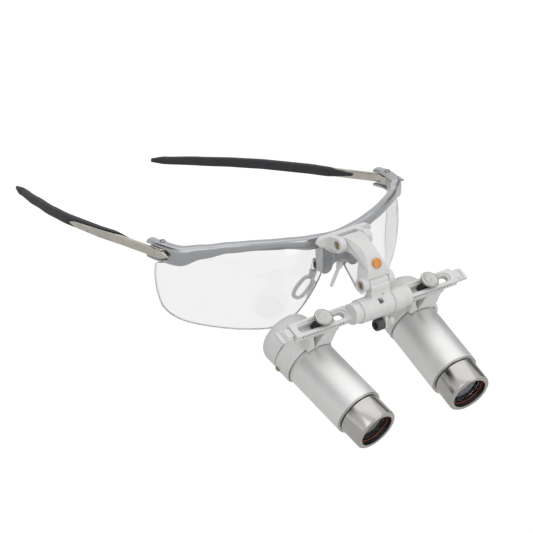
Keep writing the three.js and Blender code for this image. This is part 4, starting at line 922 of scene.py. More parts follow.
clamp_jaw = shaped("clamp_jaw_nylon", [slab_xz(jaw_shape, LUG_Y + LUG_DEPTH / 2 + GAP, JAW_BACK_Y)],
                   [clamp_screw_room(s) for _, s in SIDES], cell=0.13, rounds=6)
grey_nylon = grained("warm_grey_nylon", (0.62, 0.62, 0.61), (0.66, 0.66, 0.65), 6500, 130, (0.38, 0.5),
                     0.14, 0.12,
                     Specular_IOR_Level=0.5)
dress(clamp_block, grey_nylon, "frame", "housing", "clamp_block")
dress(clamp_jaw, grey_nylon, "frame", "housing", "clamp_jaw")

# ---- Flip-up arm ------------------------------------------------------------------------------
# A C-shaped nylon arm that swings the telescopes up out of the way. It turns in the clamp's ears at
# the top and forks round the link at the bottom, and carries a plain enamel dot on its front.
ARM_WIDTHS = (10.5, 7.2, 15.6)
BADGE_CENTRE, BADGE_RADIUS, BADGE_TILT = (-69.6, -3.6), 2.3, -28
LINK_BARREL_RADIUS = 3.1


def eased(value, low, high):
    t = min(max((value - low) / (high - low), 0.0), 1.0)
    return t * t * (3 - 2 * t)


def arm_half_width(y, z):
    """Widest over the hinges, waisted between them."""
    top, waist, bottom = ARM_WIDTHS
    width = top + (waist - top) * eased(-y, 54, 61) + (bottom - waist) * eased(-z, 1.5, -LOWER_PIVOT[1])
    return width / 2


arm_side = bend_line(
    (py, pz + UPPER_BARREL_RADIUS), ((-58.6, 4.4), (-63.6, 1.5)), ((-69.2, -2), (-70.6, -7.4)),
    ((-71.2, -11),),
    ((-65.2, -11.4),), ((-63.9, -8.6), (-62.4, -5.6)), ((-60.4, -2.9), (-56.8, -2.2)),
    ((py, pz - UPPER_BARREL_RADIUS),),
)


def arm_core(half_of, outline):
    rows = []
    for share in (-1, -0.6, -0.2, 0.2, 0.6, 1):
        rows.append([(share * half_of(p.x, p.y), p.x, p.y) for p in outline])
    return loft(rows)


barrel_half = UPPER_EAR_INNER - RUN
arm_adds = [arm_core(arm_half_width, arm_side),
            rod_x(UPPER_BARREL_RADIUS, -barrel_half, barrel_half, UPPER_PIVOT)]
for _, s in SIDES:
    arm_adds.append(rod_x(LOWER_EAR_RADIUS, s * LOWER_EAR_INNER, s * LOWER_EAR_OUTER, LOWER_PIVOT))
arm_cuts = ear_cuts(LOWER_EAR_OUTER, LOWER_PIVOT)
arm_cuts.append(rod_x(LINK_BARREL_RADIUS + RUN, -LOWER_EAR_INNER, LOWER_EAR_INNER, LOWER_PIVOT))
flip_arm = shaped("flip_arm_nylon", arm_adds, arm_cuts, cell=0.13, rounds=8)
dress(flip_arm, grey_nylon, "arm", "housing", "flip_arm")


def badge_disc():
    """A slightly domed dot; its back is sunk into the arm."""
    tilt, at = Matrix.Rotation(math.radians(90 + BADGE_TILT), 3, "X"), Vector((0, *BADGE_CENTRE))
    rings = []
    for reach, height in ((BADGE_RADIUS, -0.2), (BADGE_RADIUS, 0.42), (BADGE_RADIUS - 0.15, 0.52),
                          (1.2, 0.6), (0.3, 0.62)):
        rings.append([tilt @ Vector((u, v, height)) + at for u, v in circle(reach, 64)])
    return loft(rings)


badge = settle(raw_object("enamel_dot", badge_disc()), 50)
enamel = grained("amber_enamel", (0.60, 0.22, 0.035), (0.68, 0.27, 0.05), 5000, 200, (0.22, 0.34), 0.05,
                 0.1,
                 Coat_Weight=0.4, Coat_Roughness=0.12)
dress(badge, enamel, "arm", "badge", "arm_badge")

# ---- Tilt link and hub ------------------------------------------------------------------------
# The link turns in the arm's fork to set the viewing angle. Below its plate it widens into a foot on
# a nylon sleeve that holds the roots of both rails; a split collar closes the sleeve on one side.
HUB_CENTRE, HUB_RADIUS, HUB_HALF, HUB_BORE = (-71.3, -23.3), 5.5, 12.0, 3.8
COLLAR_START = 5.7
LINK_FRONT, LINK_THICKNESS = -72.6, 3.6
LOCK_AXIS, LOCK_X, LOCK_LUG = (-73.4, -31.8), 1.6, 1.6
hub_z = HUB_CENTRE[1]


def tube_x(outer, inner, x0, x1, centre, sides=72):
    """A plain ring about X, open along its bore."""
    rings = []
    for x, radius in ((x0, inner), (x0, outer), (x1, outer), (x1, inner)):
        rings.append([(x, centre[0] + u, centre[1] + v) for u, v in circle(radius, sides)])
    return loft(rings + [rings[0]], capped=False)


ly, lz = LOWER_PIVOT
link_half = LOWER_EAR_INNER - RUN
plate_side = [(LINK_FRONT, lz - 1), (ly - 1.5, lz + 1), (LINK_FRONT + LINK_THICKNESS, lz),
              (LINK_FRONT + LINK_THICKNESS, hub_z + HUB_RADIUS - 1.6),
              (LINK_FRONT, hub_z + HUB_RADIUS - 1.6)]


def foot():
    """The foot flares from the plate's width onto the sleeve."""
    rings = []          # height, half width, front and back
    for z, half, y0, y1 in ((hub_z + 3.2, 5.7, -73.4, -67.4), (hub_z + 4.8, 5.6, -73.3, -68.2),
                            (hub_z + 6.0, 5.4, -73.0, -68.8), (hub_z + 7.6, 5.25, LINK_FRONT, -69.0)):
        rings.append([(-half, y0, z), (half, y0, z), (half, y1, z), (-half, y1, z)])
    return loft(rings)


# a shallow frame stands proud of the plate
emboss_z0, emboss_z1 = hub_z + 7.9, lz - 2.0
link_adds = [plate(plate_side, -link_half, link_half),
             rod_x(LINK_BARREL_RADIUS, -link_half, link_half, LOWER_PIVOT), foot(),
             block(-3.1, 3.1, LINK_FRONT - 0.28, LINK_FRONT + 1, emboss_z0, emboss_z1),
             rod_x(HUB_RADIUS, -HUB_HALF, COLLAR_START - GAP, HUB_CENTRE, 96),
             tube_x(HUB_RADIUS - 0.55, HUB_BORE, -HUB_HALF - 0.2, -HUB_HALF + 1, HUB_CENTRE),
             block(LOCK_X - LOCK_LUG / 2, LOCK_X + LOCK_LUG / 2, LOCK_AXIS[0] - 1.9, LOCK_AXIS[0] + 1.9,
                   LOCK_AXIS[1] - 1.9, hub_z - 4.5)]
link_cuts = [block(-2.5, 2.5, LINK_FRONT - 2, LINK_FRONT - 0.02, emboss_z0 + 0.55, emboss_z1 - 0.55),
             rod_x(HUB_BORE, -HUB_HALF - 2, HUB_HALF + 2, HUB_CENTRE, 72),
             rod_x(1.2, LOCK_X - 3, LOCK_X + 3, LOCK_AXIS, 32),
             block(-2.9, -0.4, -75.8, -73.5, hub_z + 1, hub_z + HUB_RADIUS + 1.5),
             rod_x(PIVOT_HOLE_RADIUS, -8, 8, LOWER_PIVOT, 32)]


def fine_groove(x):
    return tube_x(HUB_RADIUS + 1, HUB_RADIUS - 0.16, x, x + 0.3, HUB_CENTRE)


link_cuts += [fine_groove(x) for x in (-HUB_HALF + 1.7, 0.4, 1.15)]
tilt_link = shaped("tilt_link_nylon", link_adds, link_cuts, cell=0.13, rounds=5)
collar_cuts = [fine_groove(x) for x in (6.5, HUB_HALF - 0.8)]
hub_collar = shaped("hub_collar_nylon", [rod_x(HUB_RADIUS, COLLAR_START, HUB_HALF, HUB_CENTRE, 96)],
                    [rod_x(HUB_BORE, 0, 20, HUB_CENTRE, 72), *collar_cuts], cell=0.13, rounds=4)
dress(tilt_link, grey_nylon, "link", "housing", "tilt_link")
dress(hub_collar, grey_nylon, "link", "housing", "hub_collar")

# ---- Tilt lock --------------------------------------------------------------------------------
# A dark rubber knob on one side of the sleeve's lug and a pale stub on the other share one short
# shaft; turning the knob by hand locks the tilt of the telescopes.
lock_left = LOCK_X - LOCK_LUG / 2 - GAP
knob_adds = [rod_x(2.75, lock_left - 3.6, lock_left, LOCK_AXIS, 64),
             rod((lock_left - 4.0, *LOCK_AXIS), (lock_left - 3.6, *LOCK_AXIS), 2.4, 64, 2.75),
             rod_x(0.9, lock_left - 1, LOCK_X + LOCK_LUG / 2 - GAP, LOCK_AXIS, 32)]
knob_cuts = [rod_x(1.75, lock_left - 5, lock_left - 1.4, LOCK_AXIS, 48)]
lock_knob = shaped("lock_knob_rubber", knob_adds, knob_cuts, cell=0.11, rounds=5)
stub_start, stub_end = LOCK_X + LOCK_LUG / 2 + GAP, LOCK_X + LOCK_LUG / 2 + GAP + 4
stub_adds = [rod_x(1.5, stub_start, stub_end - 1.4, LOCK_AXIS, 48),
             rod_x(2.15, stub_end - 2.6, stub_end - 0.7, LOCK_AXIS, 48),
             rod((stub_end - 0.7, *LOCK_AXIS), (stub_end, *LOCK_AXIS), 2.15, 48, 1.5),
             rod_x(2.15, stub_start, stub_start + 0.7, LOCK_AXIS, 48)]
lock_stub = shaped("lock_stub_nylon", stub_adds, cell=0.11, rounds=6)
# painted shade: a dark ring sunk in the hub's wall behind its window, standing in for the shadow inside the
# window
window_shade_ring = shaped("hub_detent_spring", [rod_x(HUB_BORE + 1.1, -2.7, -1.5, HUB_CENTRE, 48)],
                [rod_x(HUB_BORE + 0.1, -4, 0, HUB_CENTRE, 48)], cell=0.12, rounds=2)
slate_rubber = grained("slate_rubber", (0.050, 0.052, 0.055), (0.075, 0.077, 0.080), 4200, 220,
                       (0.42, 0.6), 0.25, 0.08)
dress(window_shade_ring, slate_rubber, "link", "black")
dress(lock_knob, slate_rubber, "lock", "black", "lock_knob")
dress(lock_stub, grey_nylon, "lock", "housing", "lock_stub")

# ---- Rails ------------------------------------------------------------------------------------
# Each rail is a slotted nylon bar whose root turns into the hub. A shallow channel round the slot
# guides the nut, the front face carries a printed scale, and a small tab closes the outer end.
RAIL_CENTRE, RAIL_TILT = (-68.5, -24.2), 27
RAIL_HALF, RAIL_THICK = 3.9, 3.4
RAIL_START, RAIL_END, NECK_END = 12.3, 47.0, 16.3
SLOT_START, SLOT_END, SLOT_HALF = 18.0, 43.4, 1.8
rail_turn, rail_at = Matrix.Rotation(math.radians(RAIL_TILT), 3, "X"), Vector((0, *RAIL_CENTRE))


def on_rail(sign, part):
    """From the rail's own frame, x outwards, y across and z out of its top face."""
    points, faces = part
    return [rail_turn @ Vector((sign * p[0], p[1], p[2])) + rail_at for p in points], faces


def long_hole(x0, x1, half, z0, z1):
    ring = []
    for i in range(48):
        a = math.tau * i / 48
        end = x1 - half if math.cos(a) > 0 else x0 + half
        ring.append((end + half * math.cos(a), half * math.sin(a)))
    return loft([[(x, y, z) for x, y in ring] for z in (z0, z1)])


rail_flat = RAIL_THICK / 2
rail_solids = [
    block(NECK_END - 0.6, RAIL_END, -RAIL_HALF, RAIL_HALF, -rail_flat, rail_flat),
    block(NECK_END - 2.6, NECK_END + 0.6, -RAIL_HALF + 0.9, RAIL_HALF - 0.9, -rail_flat, rail_flat + 0.35),
]
rail_cutters = [
    long_hole(SLOT_START - 1.0, SLOT_END + 0.9, SLOT_HALF + 0.85, rail_flat - 0.75, rail_flat + 2),
    long_hole(SLOT_START, SLOT_END, SLOT_HALF, -4, 4),
    block(NECK_END + 0.4, RAIL_END - 1.6, -RAIL_HALF - 1, -RAIL_HALF + 0.22, -rail_flat + 0.75,
          rail_flat - 0.75),
]


def scale_recipe():
    """A row of printed strokes, every fifth one longer."""
    tree, size, leave = recipe("scale strokes", [
        ("Count", "NodeSocketInt", 21), ("Pitch", "NodeSocketFloat", 0.001),
        ("Width", "NodeSocketFloat", 0.0002),
        ("Height", "NodeSocketFloat", 0.0006), ("Print", "NodeSocketFloat", 0.00006),
        ("Material", "NodeSocketMaterial", None)])
    row = wired(tree, "GeometryNodeMeshLine", {"Count": size["Count"],
                                               "Offset": vector(tree, X=size["Pitch"])})
    form = vector(tree, X=size["Width"], Y=size["Print"], Z=size["Height"])
    stroke = wired(tree, "GeometryNodeMeshCube", {"Size": form})
    index = wired(tree, "GeometryNodeInputIndex").outputs["Index"]
    fifth = sum_of(tree, "LESS_THAN", sum_of(tree, "MODULO", index, 5.0), 0.5)
    tall = sum_of(tree, "ADD", 1.0, sum_of(tree, "MULTIPLY", fifth, 0.7))
    marks = wired(tree, "GeometryNodeInstanceOnPoints", {
        "Points": row.outputs["Mesh"], "Instance": stroke.outputs["Mesh"],
        "Scale": vector(tree, X=1.0, Y=1.0, Z=tall)})
    return finished(tree, marks.outputs["Instances"], size, leave)


SCALE_STROKES = scale_recipe()
scale_ink = grained("grey_scale_ink", (0.06, 0.06, 0.06), (0.10, 0.10, 0.10), 5000, 300, (0.5, 0.65), 0.1,
                    0.1)


def laid(thing, matrix):
    """Moves a finished mesh from its own frame, in metres, to its place; the object stays at the origin."""
    thing.data.transform(matrix)
    if matrix.determinant() < 0:
        thing.data.flip_normals()
    thing.data.update()
    return thing


def empty_piece(name):
    thing = bpy.data.objects.new(name, bpy.data.meshes.new(name))
    bpy.context.scene.collection.objects.link(thing)
    return thing


def frame_matrix(turn, at):
    """A frame given in millimetres from between the temple screws, as a matrix in metres."""
    return Matrix.Translation((Vector(at) - NOSE_SEAT) * MM) @ turn.to_4x4()


for side, sign in SIDES:
    x = sorted((sign * RAIL_START, sign * NECK_END))
    root = sorted((sign * GAP, sign * (RAIL_START + 1)))
    collar = sorted((sign * (RAIL_START + 1.2), sign * (RAIL_START + 1.5)))
    adds = [on_rail(sign, part) for part in rail_solids]
    adds += [rod_x(4.8, *x, HUB_CENTRE, 80), rod_x(HUB_BORE - GAP, *root, HUB_CENTRE, 64)]
    cuts = [on_rail(sign, part) for part in rail_cutters]
    cuts += [tube_x(6.5, 4.6, *collar, HUB_CENTRE),
             on_rail(sign, rod((RAIL_START + 2.9, -RAIL_HALF - 2, -0.9),
                               (RAIL_START + 2.9, -RAIL_HALF + 0.5, -0.9), 0.6, 32))]
    rail = shaped(f"rail_{side}_nylon", adds, cuts, cell=0.13, rounds=4)
    dress(rail, grey_nylon, "link", "housing", f"rail_{side}")
    tab = RAIL_END + GAP
    tab_solids = [block(tab, tab + 4.6, -3, 3, -1.5, 0.4), block(tab + 4.4, tab + 6.6, -3, 3, -1.5, -0.1),
                  block(tab, tab + 3.4, -2.2, 2.2, 0, 1.1)]
    tab_cutters = [block(tab + 4.0, tab + 4.5, -4, 2.0, -0.2, 2),
                   block(tab - 0.2, tab + 0.5, -3.4, -2.0, -0.9, 2)]
    tip = shaped(f"rail_tip_{side}_nylon", [on_rail(sign, p) for p in tab_solids],
                 [on_rail(sign, p) for p in tab_cutters], cell=0.12, rounds=5)
    dress(tip, grey_nylon, "link", "housing", f"rail_tip_{side}")
    scale = grown(empty_piece(f"rail_scale_{side}"), SCALE_STROKES, Count=15, Pitch=0.0016, Width=0.0004,
                  Height=0.0009, Print=0.0002, Material=scale_ink)
    start = rail_turn @ Vector((20 if sign > 0 else -43, -RAIL_HALF + 0.21, -0.05)) + rail_at
    laid(scale, frame_matrix(rail_turn, start))
    mounted(scale, "link", "black")

# ---- Telescope housings -----------------------------------------------------------------------
# Each telescope sits in a moulded ring whose bracket rises to a saddle under the rail. Behind the
# ring a rounded shell covers the prisms, and one small screw in the rim joins the two.
PUPIL_HALF, SEAM_Y, SEAM_Z = 30.6, -61.0, -46.2
DECLINATION, CONVERGENCE = 22.2, 4.48
BARREL_RADIUS, BARREL_LENGTH, BARREL_BORE = 11.7, 34.2, 9.6
MOUNT_RADIUS, MOUNT_OFFSET, MOUNT_LENGTH, MOUNT_BORE = 12.9, (0.5, 0.8), 8.2, 11.0
SHELL_RADIUS, SHELL_STRAIGHT, SHELL_LENGTH, SHELL_OFFSET = 12.7, 6.4, 11.4, (1.1, 1.5)
SHELL_WALL = 1.8
EYE_RADIUS, EYE_LENGTH, EYE_BORE, EYE_NECK = 7.6, 1.5, 6.2, 7.2
KNOB_X, SADDLE_HALF, SADDLE_THICK = 30.9, 8.7, 2.0
MOUNT_SCREW_ANGLE = 112
RAIL_REACH = 21.0
POLE = 1e-3        # the smallest ring, which closes a turned body on its axis


def optic_turn(sign):
    return (Matrix.Rotation(math.radians(-sign * CONVERGENCE), 3, "Z")
            @ Matrix.Rotation(math.radians(DECLINATION), 3, "X"))


def on_optic(sign, part):
    """From the telescope's own frame: its axis is Y, and the light comes in from -Y."""
    turn, at = optic_turn(sign), Vector((sign * PUPIL_HALF, SEAM_Y, SEAM_Z))
    points, faces = part
    return [turn @ Vector(p) + at for p in points], faces


def optic_matrix(sign):
    return frame_matrix(optic_turn(sign), (sign * PUPIL_HALF, SEAM_Y, SEAM_Z))


def turned_part(profile, offset=(0, 0), sides=96):
    """A body of revolution about Y from (radius, distance ahead of the seam); on the axis it closes."""
    rings = []
    for radius, ahead in profile:
        rings.append([(offset[0] + u, -ahead, offset[1] + v) for u, v in circle(max(radius, POLE), sides)])
    closed = profile[0][0] > 0.01
    return loft(rings + [rings[0]] if closed else rings, capped=not closed)


def bracket(sign):
    """A web that spreads from the ring up to the saddle, open in a slanted window."""
    reach, drop = RAIL_REACH + RAIL_THICK, MOUNT_RADIUS - 2
    side = [(-SADDLE_HALF, reach), (-SADDLE_HALF * 0.8, drop), (SADDLE_HALF * 0.86, drop),
            (SADDLE_HALF, reach)]
    hole = [(-SADDLE_HALF * 0.78, reach - 4.2), (-SADDLE_HALF * 0.3, drop + 0.6),
            (-SADDLE_HALF * 0.02, reach - 4.2)]
    web = loft([[(x, y, z) for x, z in side] for y in (-2.0, 4.5)])
    window = loft([[(x, y, z) for x, z in hole] for y in (-5.0, 3.6)])
    return on_optic(sign, web), on_optic(sign, window)


def over_rail(part):
    """In the rail's frame but not mirrored, so that both brackets have the same hand."""
    points, faces = part
    return [rail_turn @ Vector(p) + rail_at for p in points], faces


for side, sign in SIDES:
    middle, under = sign * KNOB_X, -rail_flat - GAP
    web, window = bracket(sign)
    ring = turned_part([(0, -MOUNT_LENGTH), (MOUNT_RADIUS, -MOUNT_LENGTH), (MOUNT_RADIUS, -0.3),
                        (MOUNT_RADIUS - 0.3, 0),
                        (0, 0)], (sign * MOUNT_OFFSET[0], MOUNT_OFFSET[1]), 128)
    saddle = block(middle - SADDLE_HALF, middle + SADDLE_HALF, -RAIL_HALF, RAIL_HALF, under - SADDLE_THICK,
                   under)
    rail_room = block(middle - 40, middle + 40, -24, 24, under, under + 30)
    bored = turned_part([(0, -MOUNT_LENGTH - 1), (MOUNT_BORE, -MOUNT_LENGTH - 1), (MOUNT_BORE, -0.9),
                         (BARREL_RADIUS + 0.3, -0.9), (BARREL_RADIUS + 0.3, 40), (0, 40)])
    mount = shaped(f"optic_mount_{side}_nylon", [web, on_optic(sign, ring), over_rail(saddle)],
                   [over_rail(rail_room), window, on_optic(sign, bored),
                    over_rail(rod((middle, 0, -9), (middle, 0, 0), 1.4, 32))], cell=0.15, rounds=4)
    dress(mount, grey_nylon, f"optic_{side}", "housing", f"optic_mount_{side}")
    front, back = -MOUNT_LENGTH - GAP, -MOUNT_LENGTH - GAP - SHELL_LENGTH
    bend = front - SHELL_STRAIGHT
    corner = bend - back
    curve = [(SHELL_RADIUS - corner * (1 - math.cos(a)), bend - corner * math.sin(a))
             for a in (math.pi / 2 * k / 10 for k in range(11))]
    shift = (sign * SHELL_OFFSET[0], SHELL_OFFSET[1])
    outside = turned_part([(0, front), (SHELL_RADIUS, front), *curve, (0, back)], shift, 128)
    hollow = turned_part([(0, front + 1), (SHELL_RADIUS - SHELL_WALL - 1.5, front + 1),
                          (SHELL_RADIUS - SHELL_WALL - 1.5, back + SHELL_WALL), (0, back + SHELL_WALL)])
    eye = turned_part([(0, front), (EYE_NECK + GAP, front), (EYE_NECK + GAP, back - 1), (0, back - 1)])
    shell = shaped(f"prism_shell_{side}_nylon", [on_optic(sign, outside)],
                   [on_optic(sign, hollow), on_optic(sign, eye)], cell=0.17, rounds=4)
    dress(shell, grey_nylon, f"optic_{side}", "housing", f"prism_shell_{side}")
    angle = math.radians(sign * MOUNT_SCREW_ANGLE)
    way = optic_turn(sign) @ Vector((math.sin(angle), 0, math.cos(angle)))
    at_rim = (MOUNT_RADIUS * math.sin(angle), MOUNT_LENGTH - 2, MOUNT_RADIUS * math.cos(angle))
    seat, _ = on_optic(sign, ([at_rim], []))
    screw = screw_set(f"mount_screw_{side}_slotted", [(seat[0] + way * 0.1, way)], brassy_steel,
                      Head_Radius=1.25,
                      Head_Height=0.8, Shank_Radius=0.7, Shank_Length=3.0, Slot_Width=0.4, Slot_Depth=0.35)
    mounted(screw, f"optic_{side}", "screw", f"mount_screw_{side}")

# ---- Telescope tubes --------------------------------------------------------------------------
# Turned aluminium tubes, lacquered satin silver, end in a thin bright bead. A polished steel ring
# screws into the front and carries the objective in a blackened cell with an amber spacer.
RING_RADIUS, RING_LENGTH, RING_BORE, RING_LIP = 10.55, 11.9, 8.9, 8.3
ring_end = BARREL_LENGTH + RING_LENGTH


def tube_profile():
    spigot = -MOUNT_LENGTH * 0.6
    return [(BARREL_BORE, spigot), (MOUNT_BORE - GAP, spigot), (MOUNT_BORE - GAP, -0.6),
            (BARREL_RADIUS - 0.35, -0.6),
            (BARREL_RADIUS - 0.35, 0.2), (BARREL_RADIUS - 0.1, 0.35), (BARREL_RADIUS, 0.7),
            (BARREL_RADIUS, BARREL_LENGTH - 0.95), (BARREL_RADIUS - 0.12, BARREL_LENGTH - 0.8),
            (BARREL_BORE, BARREL_LENGTH - 0.8)]


def bead_profile():
    points = [(BARREL_BORE + 0.1, BARREL_LENGTH - 0.75)]
    for k in range(9):
        a = math.pi * k / 8
        points.append((BARREL_RADIUS - 0.32 + 0.3 * math.sin(a), BARREL_LENGTH - 0.4 - 0.35 * math.cos(a)))
    return points + [(BARREL_BORE + 0.1, BARREL_LENGTH - 0.05)]


def ring_profile():
    back = BARREL_LENGTH - 6
    return [(RING_BORE, back), (BARREL_BORE - GAP, back), (BARREL_BORE - GAP, BARREL_LENGTH + 0.1),
            (RING_RADIUS - 0.25, BARREL_LENGTH + 0.1), (RING_RADIUS, BARREL_LENGTH + 0.35),
            (RING_RADIUS, ring_end - 0.75), (RING_RADIUS - 0.2, ring_end - 0.35),
            (RING_RADIUS - 0.6, ring_end - 0.06),
            (RING_RADIUS - 0.85, ring_end), (RING_LIP + 0.35, ring_end), (RING_LIP + 0.08, ring_end - 0.15),
            (RING_LIP + 0.05, ring_end - 0.5), (RING_BORE, ring_end - 0.5)]


def lathed(name, sign, profile, sides=128, offset=(0, 0), crease=32):
    return settle(raw_object(name, on_optic(sign, turned_part(profile, offset, sides))), crease)


def baffle_recipe():
    """Blackened rings that step inwards down the tube, so that no stray light reaches the eye."""
    tree, size, leave = recipe("baffle rings", [
        ("Count", "NodeSocketInt", 5), ("Pitch", "NodeSocketFloat", 0.0024),
        ("Radius", "NodeSocketFloat", 0.0082),
        ("Wall", "NodeSocketFloat", 0.0006), ("Thickness", "NodeSocketFloat", 0.0007),
        ("Taper", "NodeSocketFloat", 0.09), ("Material", "NodeSocketMaterial", None)])
    inner = sum_of(tree, "SUBTRACT", size["Radius"], size["Wall"])
    outside = wired(tree, "GeometryNodeMeshCylinder", {"Vertices": 72, "Radius": size["Radius"],
                                                       "Depth": size["Thickness"]})
    longer = sum_of(tree, "MULTIPLY", size["Thickness"], 2.0)
    inside = wired(tree, "GeometryNodeMeshCylinder", {"Vertices": 72, "Radius": inner, "Depth": longer})
    hoop = joined_mesh(tree, "DIFFERENCE", outside.outputs["Mesh"], inside.outputs["Mesh"])
    row = wired(tree, "GeometryNodeMeshLine", {"Count": size["Count"],
                                               "Offset": vector(tree, Z=size["Pitch"])})
    index = wired(tree, "GeometryNodeInputIndex").outputs["Index"]
    share = sum_of(tree, "SUBTRACT", 1.0, sum_of(tree, "MULTIPLY", index, size["Taper"]))
    hoops = wired(tree, "GeometryNodeInstanceOnPoints", {
        "Points": row.outputs["Mesh"], "Instance": hoop, "Scale": vector(tree, X=share, Y=share, Z=1.0)})
    return finished(tree, hoops.outputs["Instances"], size, leave)


BAFFLE_RINGS = baffle_recipe()
black_anodised = grained("black_anodised_aluminium", (0.010, 0.010, 0.011), (0.018, 0.018, 0.020), 6000,
                         300,
                         (0.30, 0.42), 0.1, 0.1, Specular_IOR_Level=0.5)
smoke_grey = grained("grey_baffle_edge", (0.075, 0.078, 0.08), (0.11, 0.115, 0.12), 6000, 300, (0.3, 0.45),
                     0.1, 0.1)
amber_ring = grained("amber_spacer", (0.22, 0.032, 0.010), (0.30, 0.05, 0.014), 6000, 300, (0.22, 0.34),
                     0.05, 0.1,
                     Coat_Weight=0.5, Coat_Roughness=0.1)
coated_glass = clear_glass("coated_objective_glass", (0.80, 0.86, 0.98), 1.52, (0.0, 0.04), 0.6)
eye_glass = clear_glass("coated_eye_glass", (0.82, 0.90, 0.93), 1.52, (0.0, 0.04), 0.4)
crown_glass = clear_glass("prism_crown_glass", (0.92, 0.95, 0.97), 1.52, (0.02, 0.1))
for side, sign in SIDES:
    body = f"optic_{side}"
    place = optic_matrix(sign)
    upright = place @ Matrix.Rotation(math.radians(90), 4, "X")
    tube_lacquer = turned_metal(f"satin_lacquered_tube_{side}", (0.74, 0.74, 0.73), (0.80, 0.80, 0.79),
                                (0.44, 0.50),
                                0.03, at=upright, pitch=2600, marks=0.06, Metallic=0.82)
    polished = turned_metal(f"polished_ring_steel_{side}", (0.44, 0.43, 0.41), (0.52, 0.51, 0.49),
                            (0.12, 0.20), 0.10,
                            at=upright, pitch=9000, marks=0.05)
    dress(lathed(f"barrel_{side}_lacquered", sign, tube_profile()), tube_lacquer, body, "barrel",
          f"barrel_{side}")
    dress(lathed(f"barrel_bead_{side}", sign, bead_profile()), polished, body, "ring")
    dress(lathed(f"objective_ring_{side}_polished", sign, ring_profile()), polished, body, "ring",
          f"objective_ring_{side}")
    lens_front = ring_end - 2.6
    rim = RING_BORE - GAP - 0.7
    dome = [(rim * s, lens_front - 1.0 * s * s) for s in (0.97, 0.85, 0.7, 0.5, 0.3, 0.12)]
    glass = lathed(f"objective_{side}_glass", sign, [(0, lens_front - 4), (rim, lens_front - 4),
                                                     (rim, lens_front - 1.0),
                                                     *dome, (0, lens_front)])
    dress(glass, coated_glass, body, "objective", f"objective_lens_{side}")
    cell_back = ring_end - 16
    cell = [(RING_LIP - 0.1, cell_back), (RING_BORE - 0.15, cell_back), (RING_BORE - 0.15, ring_end - 0.55),
            (RING_LIP + 0.02, ring_end - 0.55), (RING_LIP - 0.02, ring_end - 0.7),
            (RING_LIP - 0.08, lens_front - 0.3)]
    dress(lathed(f"objective_cell_{side}", sign, cell), black_anodised, body, "black",
          f"retaining_ring_{side}")
    spacer = [(rim - 0.25, lens_front + 0.2), (RING_LIP - 0.12, lens_front + 0.1),
              (RING_LIP - 0.12, lens_front + 0.4),
              (rim - 0.2, lens_front + 0.35)]
    dress(lathed(f"amber_spacer_{side}", sign, spacer), amber_ring, body, "black")
    stop = [(0, cell_back + 0.3), (RING_LIP - 0.15, cell_back + 0.3), (RING_LIP - 0.15, cell_back + 0.9),
            (2.6, cell_back + 0.9),
            (2.2, cell_back + 0.6), (0, cell_back + 0.6)]
    dress(lathed(f"field_stop_{side}", sign, stop), black_anodised, body, "black")
    baffles = grown(empty_piece(f"baffle_rings_{side}"), BAFFLE_RINGS, Count=4, Pitch=-0.0022,
                    Radius=0.0080,
                    Wall=0.0007, Material=smoke_grey)
    sink = Matrix.Translation((0, -(lens_front - 5.2) * MM, 0))
    laid(baffles, place @ sink @ Matrix.Rotation(math.radians(90), 4, "X"))
    mounted(baffles, body, "black")
    back = -MOUNT_LENGTH - GAP - SHELL_LENGTH
    end = back - GAP - EYE_LENGTH
    cup = [(EYE_BORE, back + SHELL_WALL), (EYE_NECK, back + SHELL_WALL), (EYE_NECK, back - GAP),
           (EYE_RADIUS - 0.4, back - GAP),
           (EYE_RADIUS, back - 0.8), (EYE_RADIUS, end + 0.6), (EYE_RADIUS - 0.25, end + 0.15),
           (EYE_RADIUS - 0.7, end),
           (EYE_BORE + 0.5, end), (EYE_BORE + 0.1, end + 0.15), (EYE_BORE, end + 0.5)]
    dress(lathed(f"eyecup_{side}_rubber", sign, cup), charcoal_rubber, body, "eyecup", f"eyecup_{side}")
    eye_rim = EYE_BORE - GAP
    eye_dome = [(eye_rim * s, back - 2.2 + 1.2 * s * s) for s in (0.12, 0.3, 0.5, 0.7, 0.85, 0.97)]
    eye_lens = lathed(f"eye_lens_{side}_glass", sign, [(0, back - 2.2), *eye_dome, (eye_rim, back - 1.0),
                                                       (eye_rim, back + 1), (0, back + 1)])
    dress(eye_lens, eye_glass, body, "objective", f"eye_lens_{side}")
    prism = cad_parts[f"prism_{side}"]
    prism.data.materials.clear()
    prism.data.materials.append(crown_glass)

# ---- Thumb screws -----------------------------------------------------------------------------
# A fluted steel disc over each rail, turned on its top, draws a black folded nut up inside the slot
# and so clamps the telescope where the wearer wants it.
KNOB_RADIUS, KNOB_THICKNESS, KNOB_LIFT, STUD_RADIUS = 4.3, 1.5, 2.0, 1.1


def flute_recipe():
    """Half-round flutes cut evenly round the rim of a turned knob."""
    tree, size, leave = recipe("fluted rim", [
        ("Count", "NodeSocketInt", 60), ("Rim", "NodeSocketFloat", 0.0043),
        ("Flute", "NodeSocketFloat", 0.0001),
        ("Height", "NodeSocketFloat", 0.004), ("Low", "NodeSocketFloat", 0.002),
        ("Material", "NodeSocketMaterial", None)])
    circle = wired(tree, "GeometryNodeMeshCircle", {"Vertices": size["Count"], "Radius": size["Rim"]})
    cutter = wired(tree, "GeometryNodeMeshCylinder", {"Vertices": 10, "Radius": size["Flute"],
                                                      "Depth": size["Height"]})
    around = wired(tree, "GeometryNodeInstanceOnPoints", {
        "Points": raised(tree, circle.outputs["Mesh"], size["Low"]), "Instance": cutter.outputs["Mesh"]})
    cutters = wired(tree, "GeometryNodeRealizeInstances",
                    {"Geometry": around.outputs["Instances"]}).outputs["Geometry"]
    return finished(tree, joined_mesh(tree, "DIFFERENCE", size["Geometry"], cutters), size, leave)


FLUTED_RIM = flute_recipe()


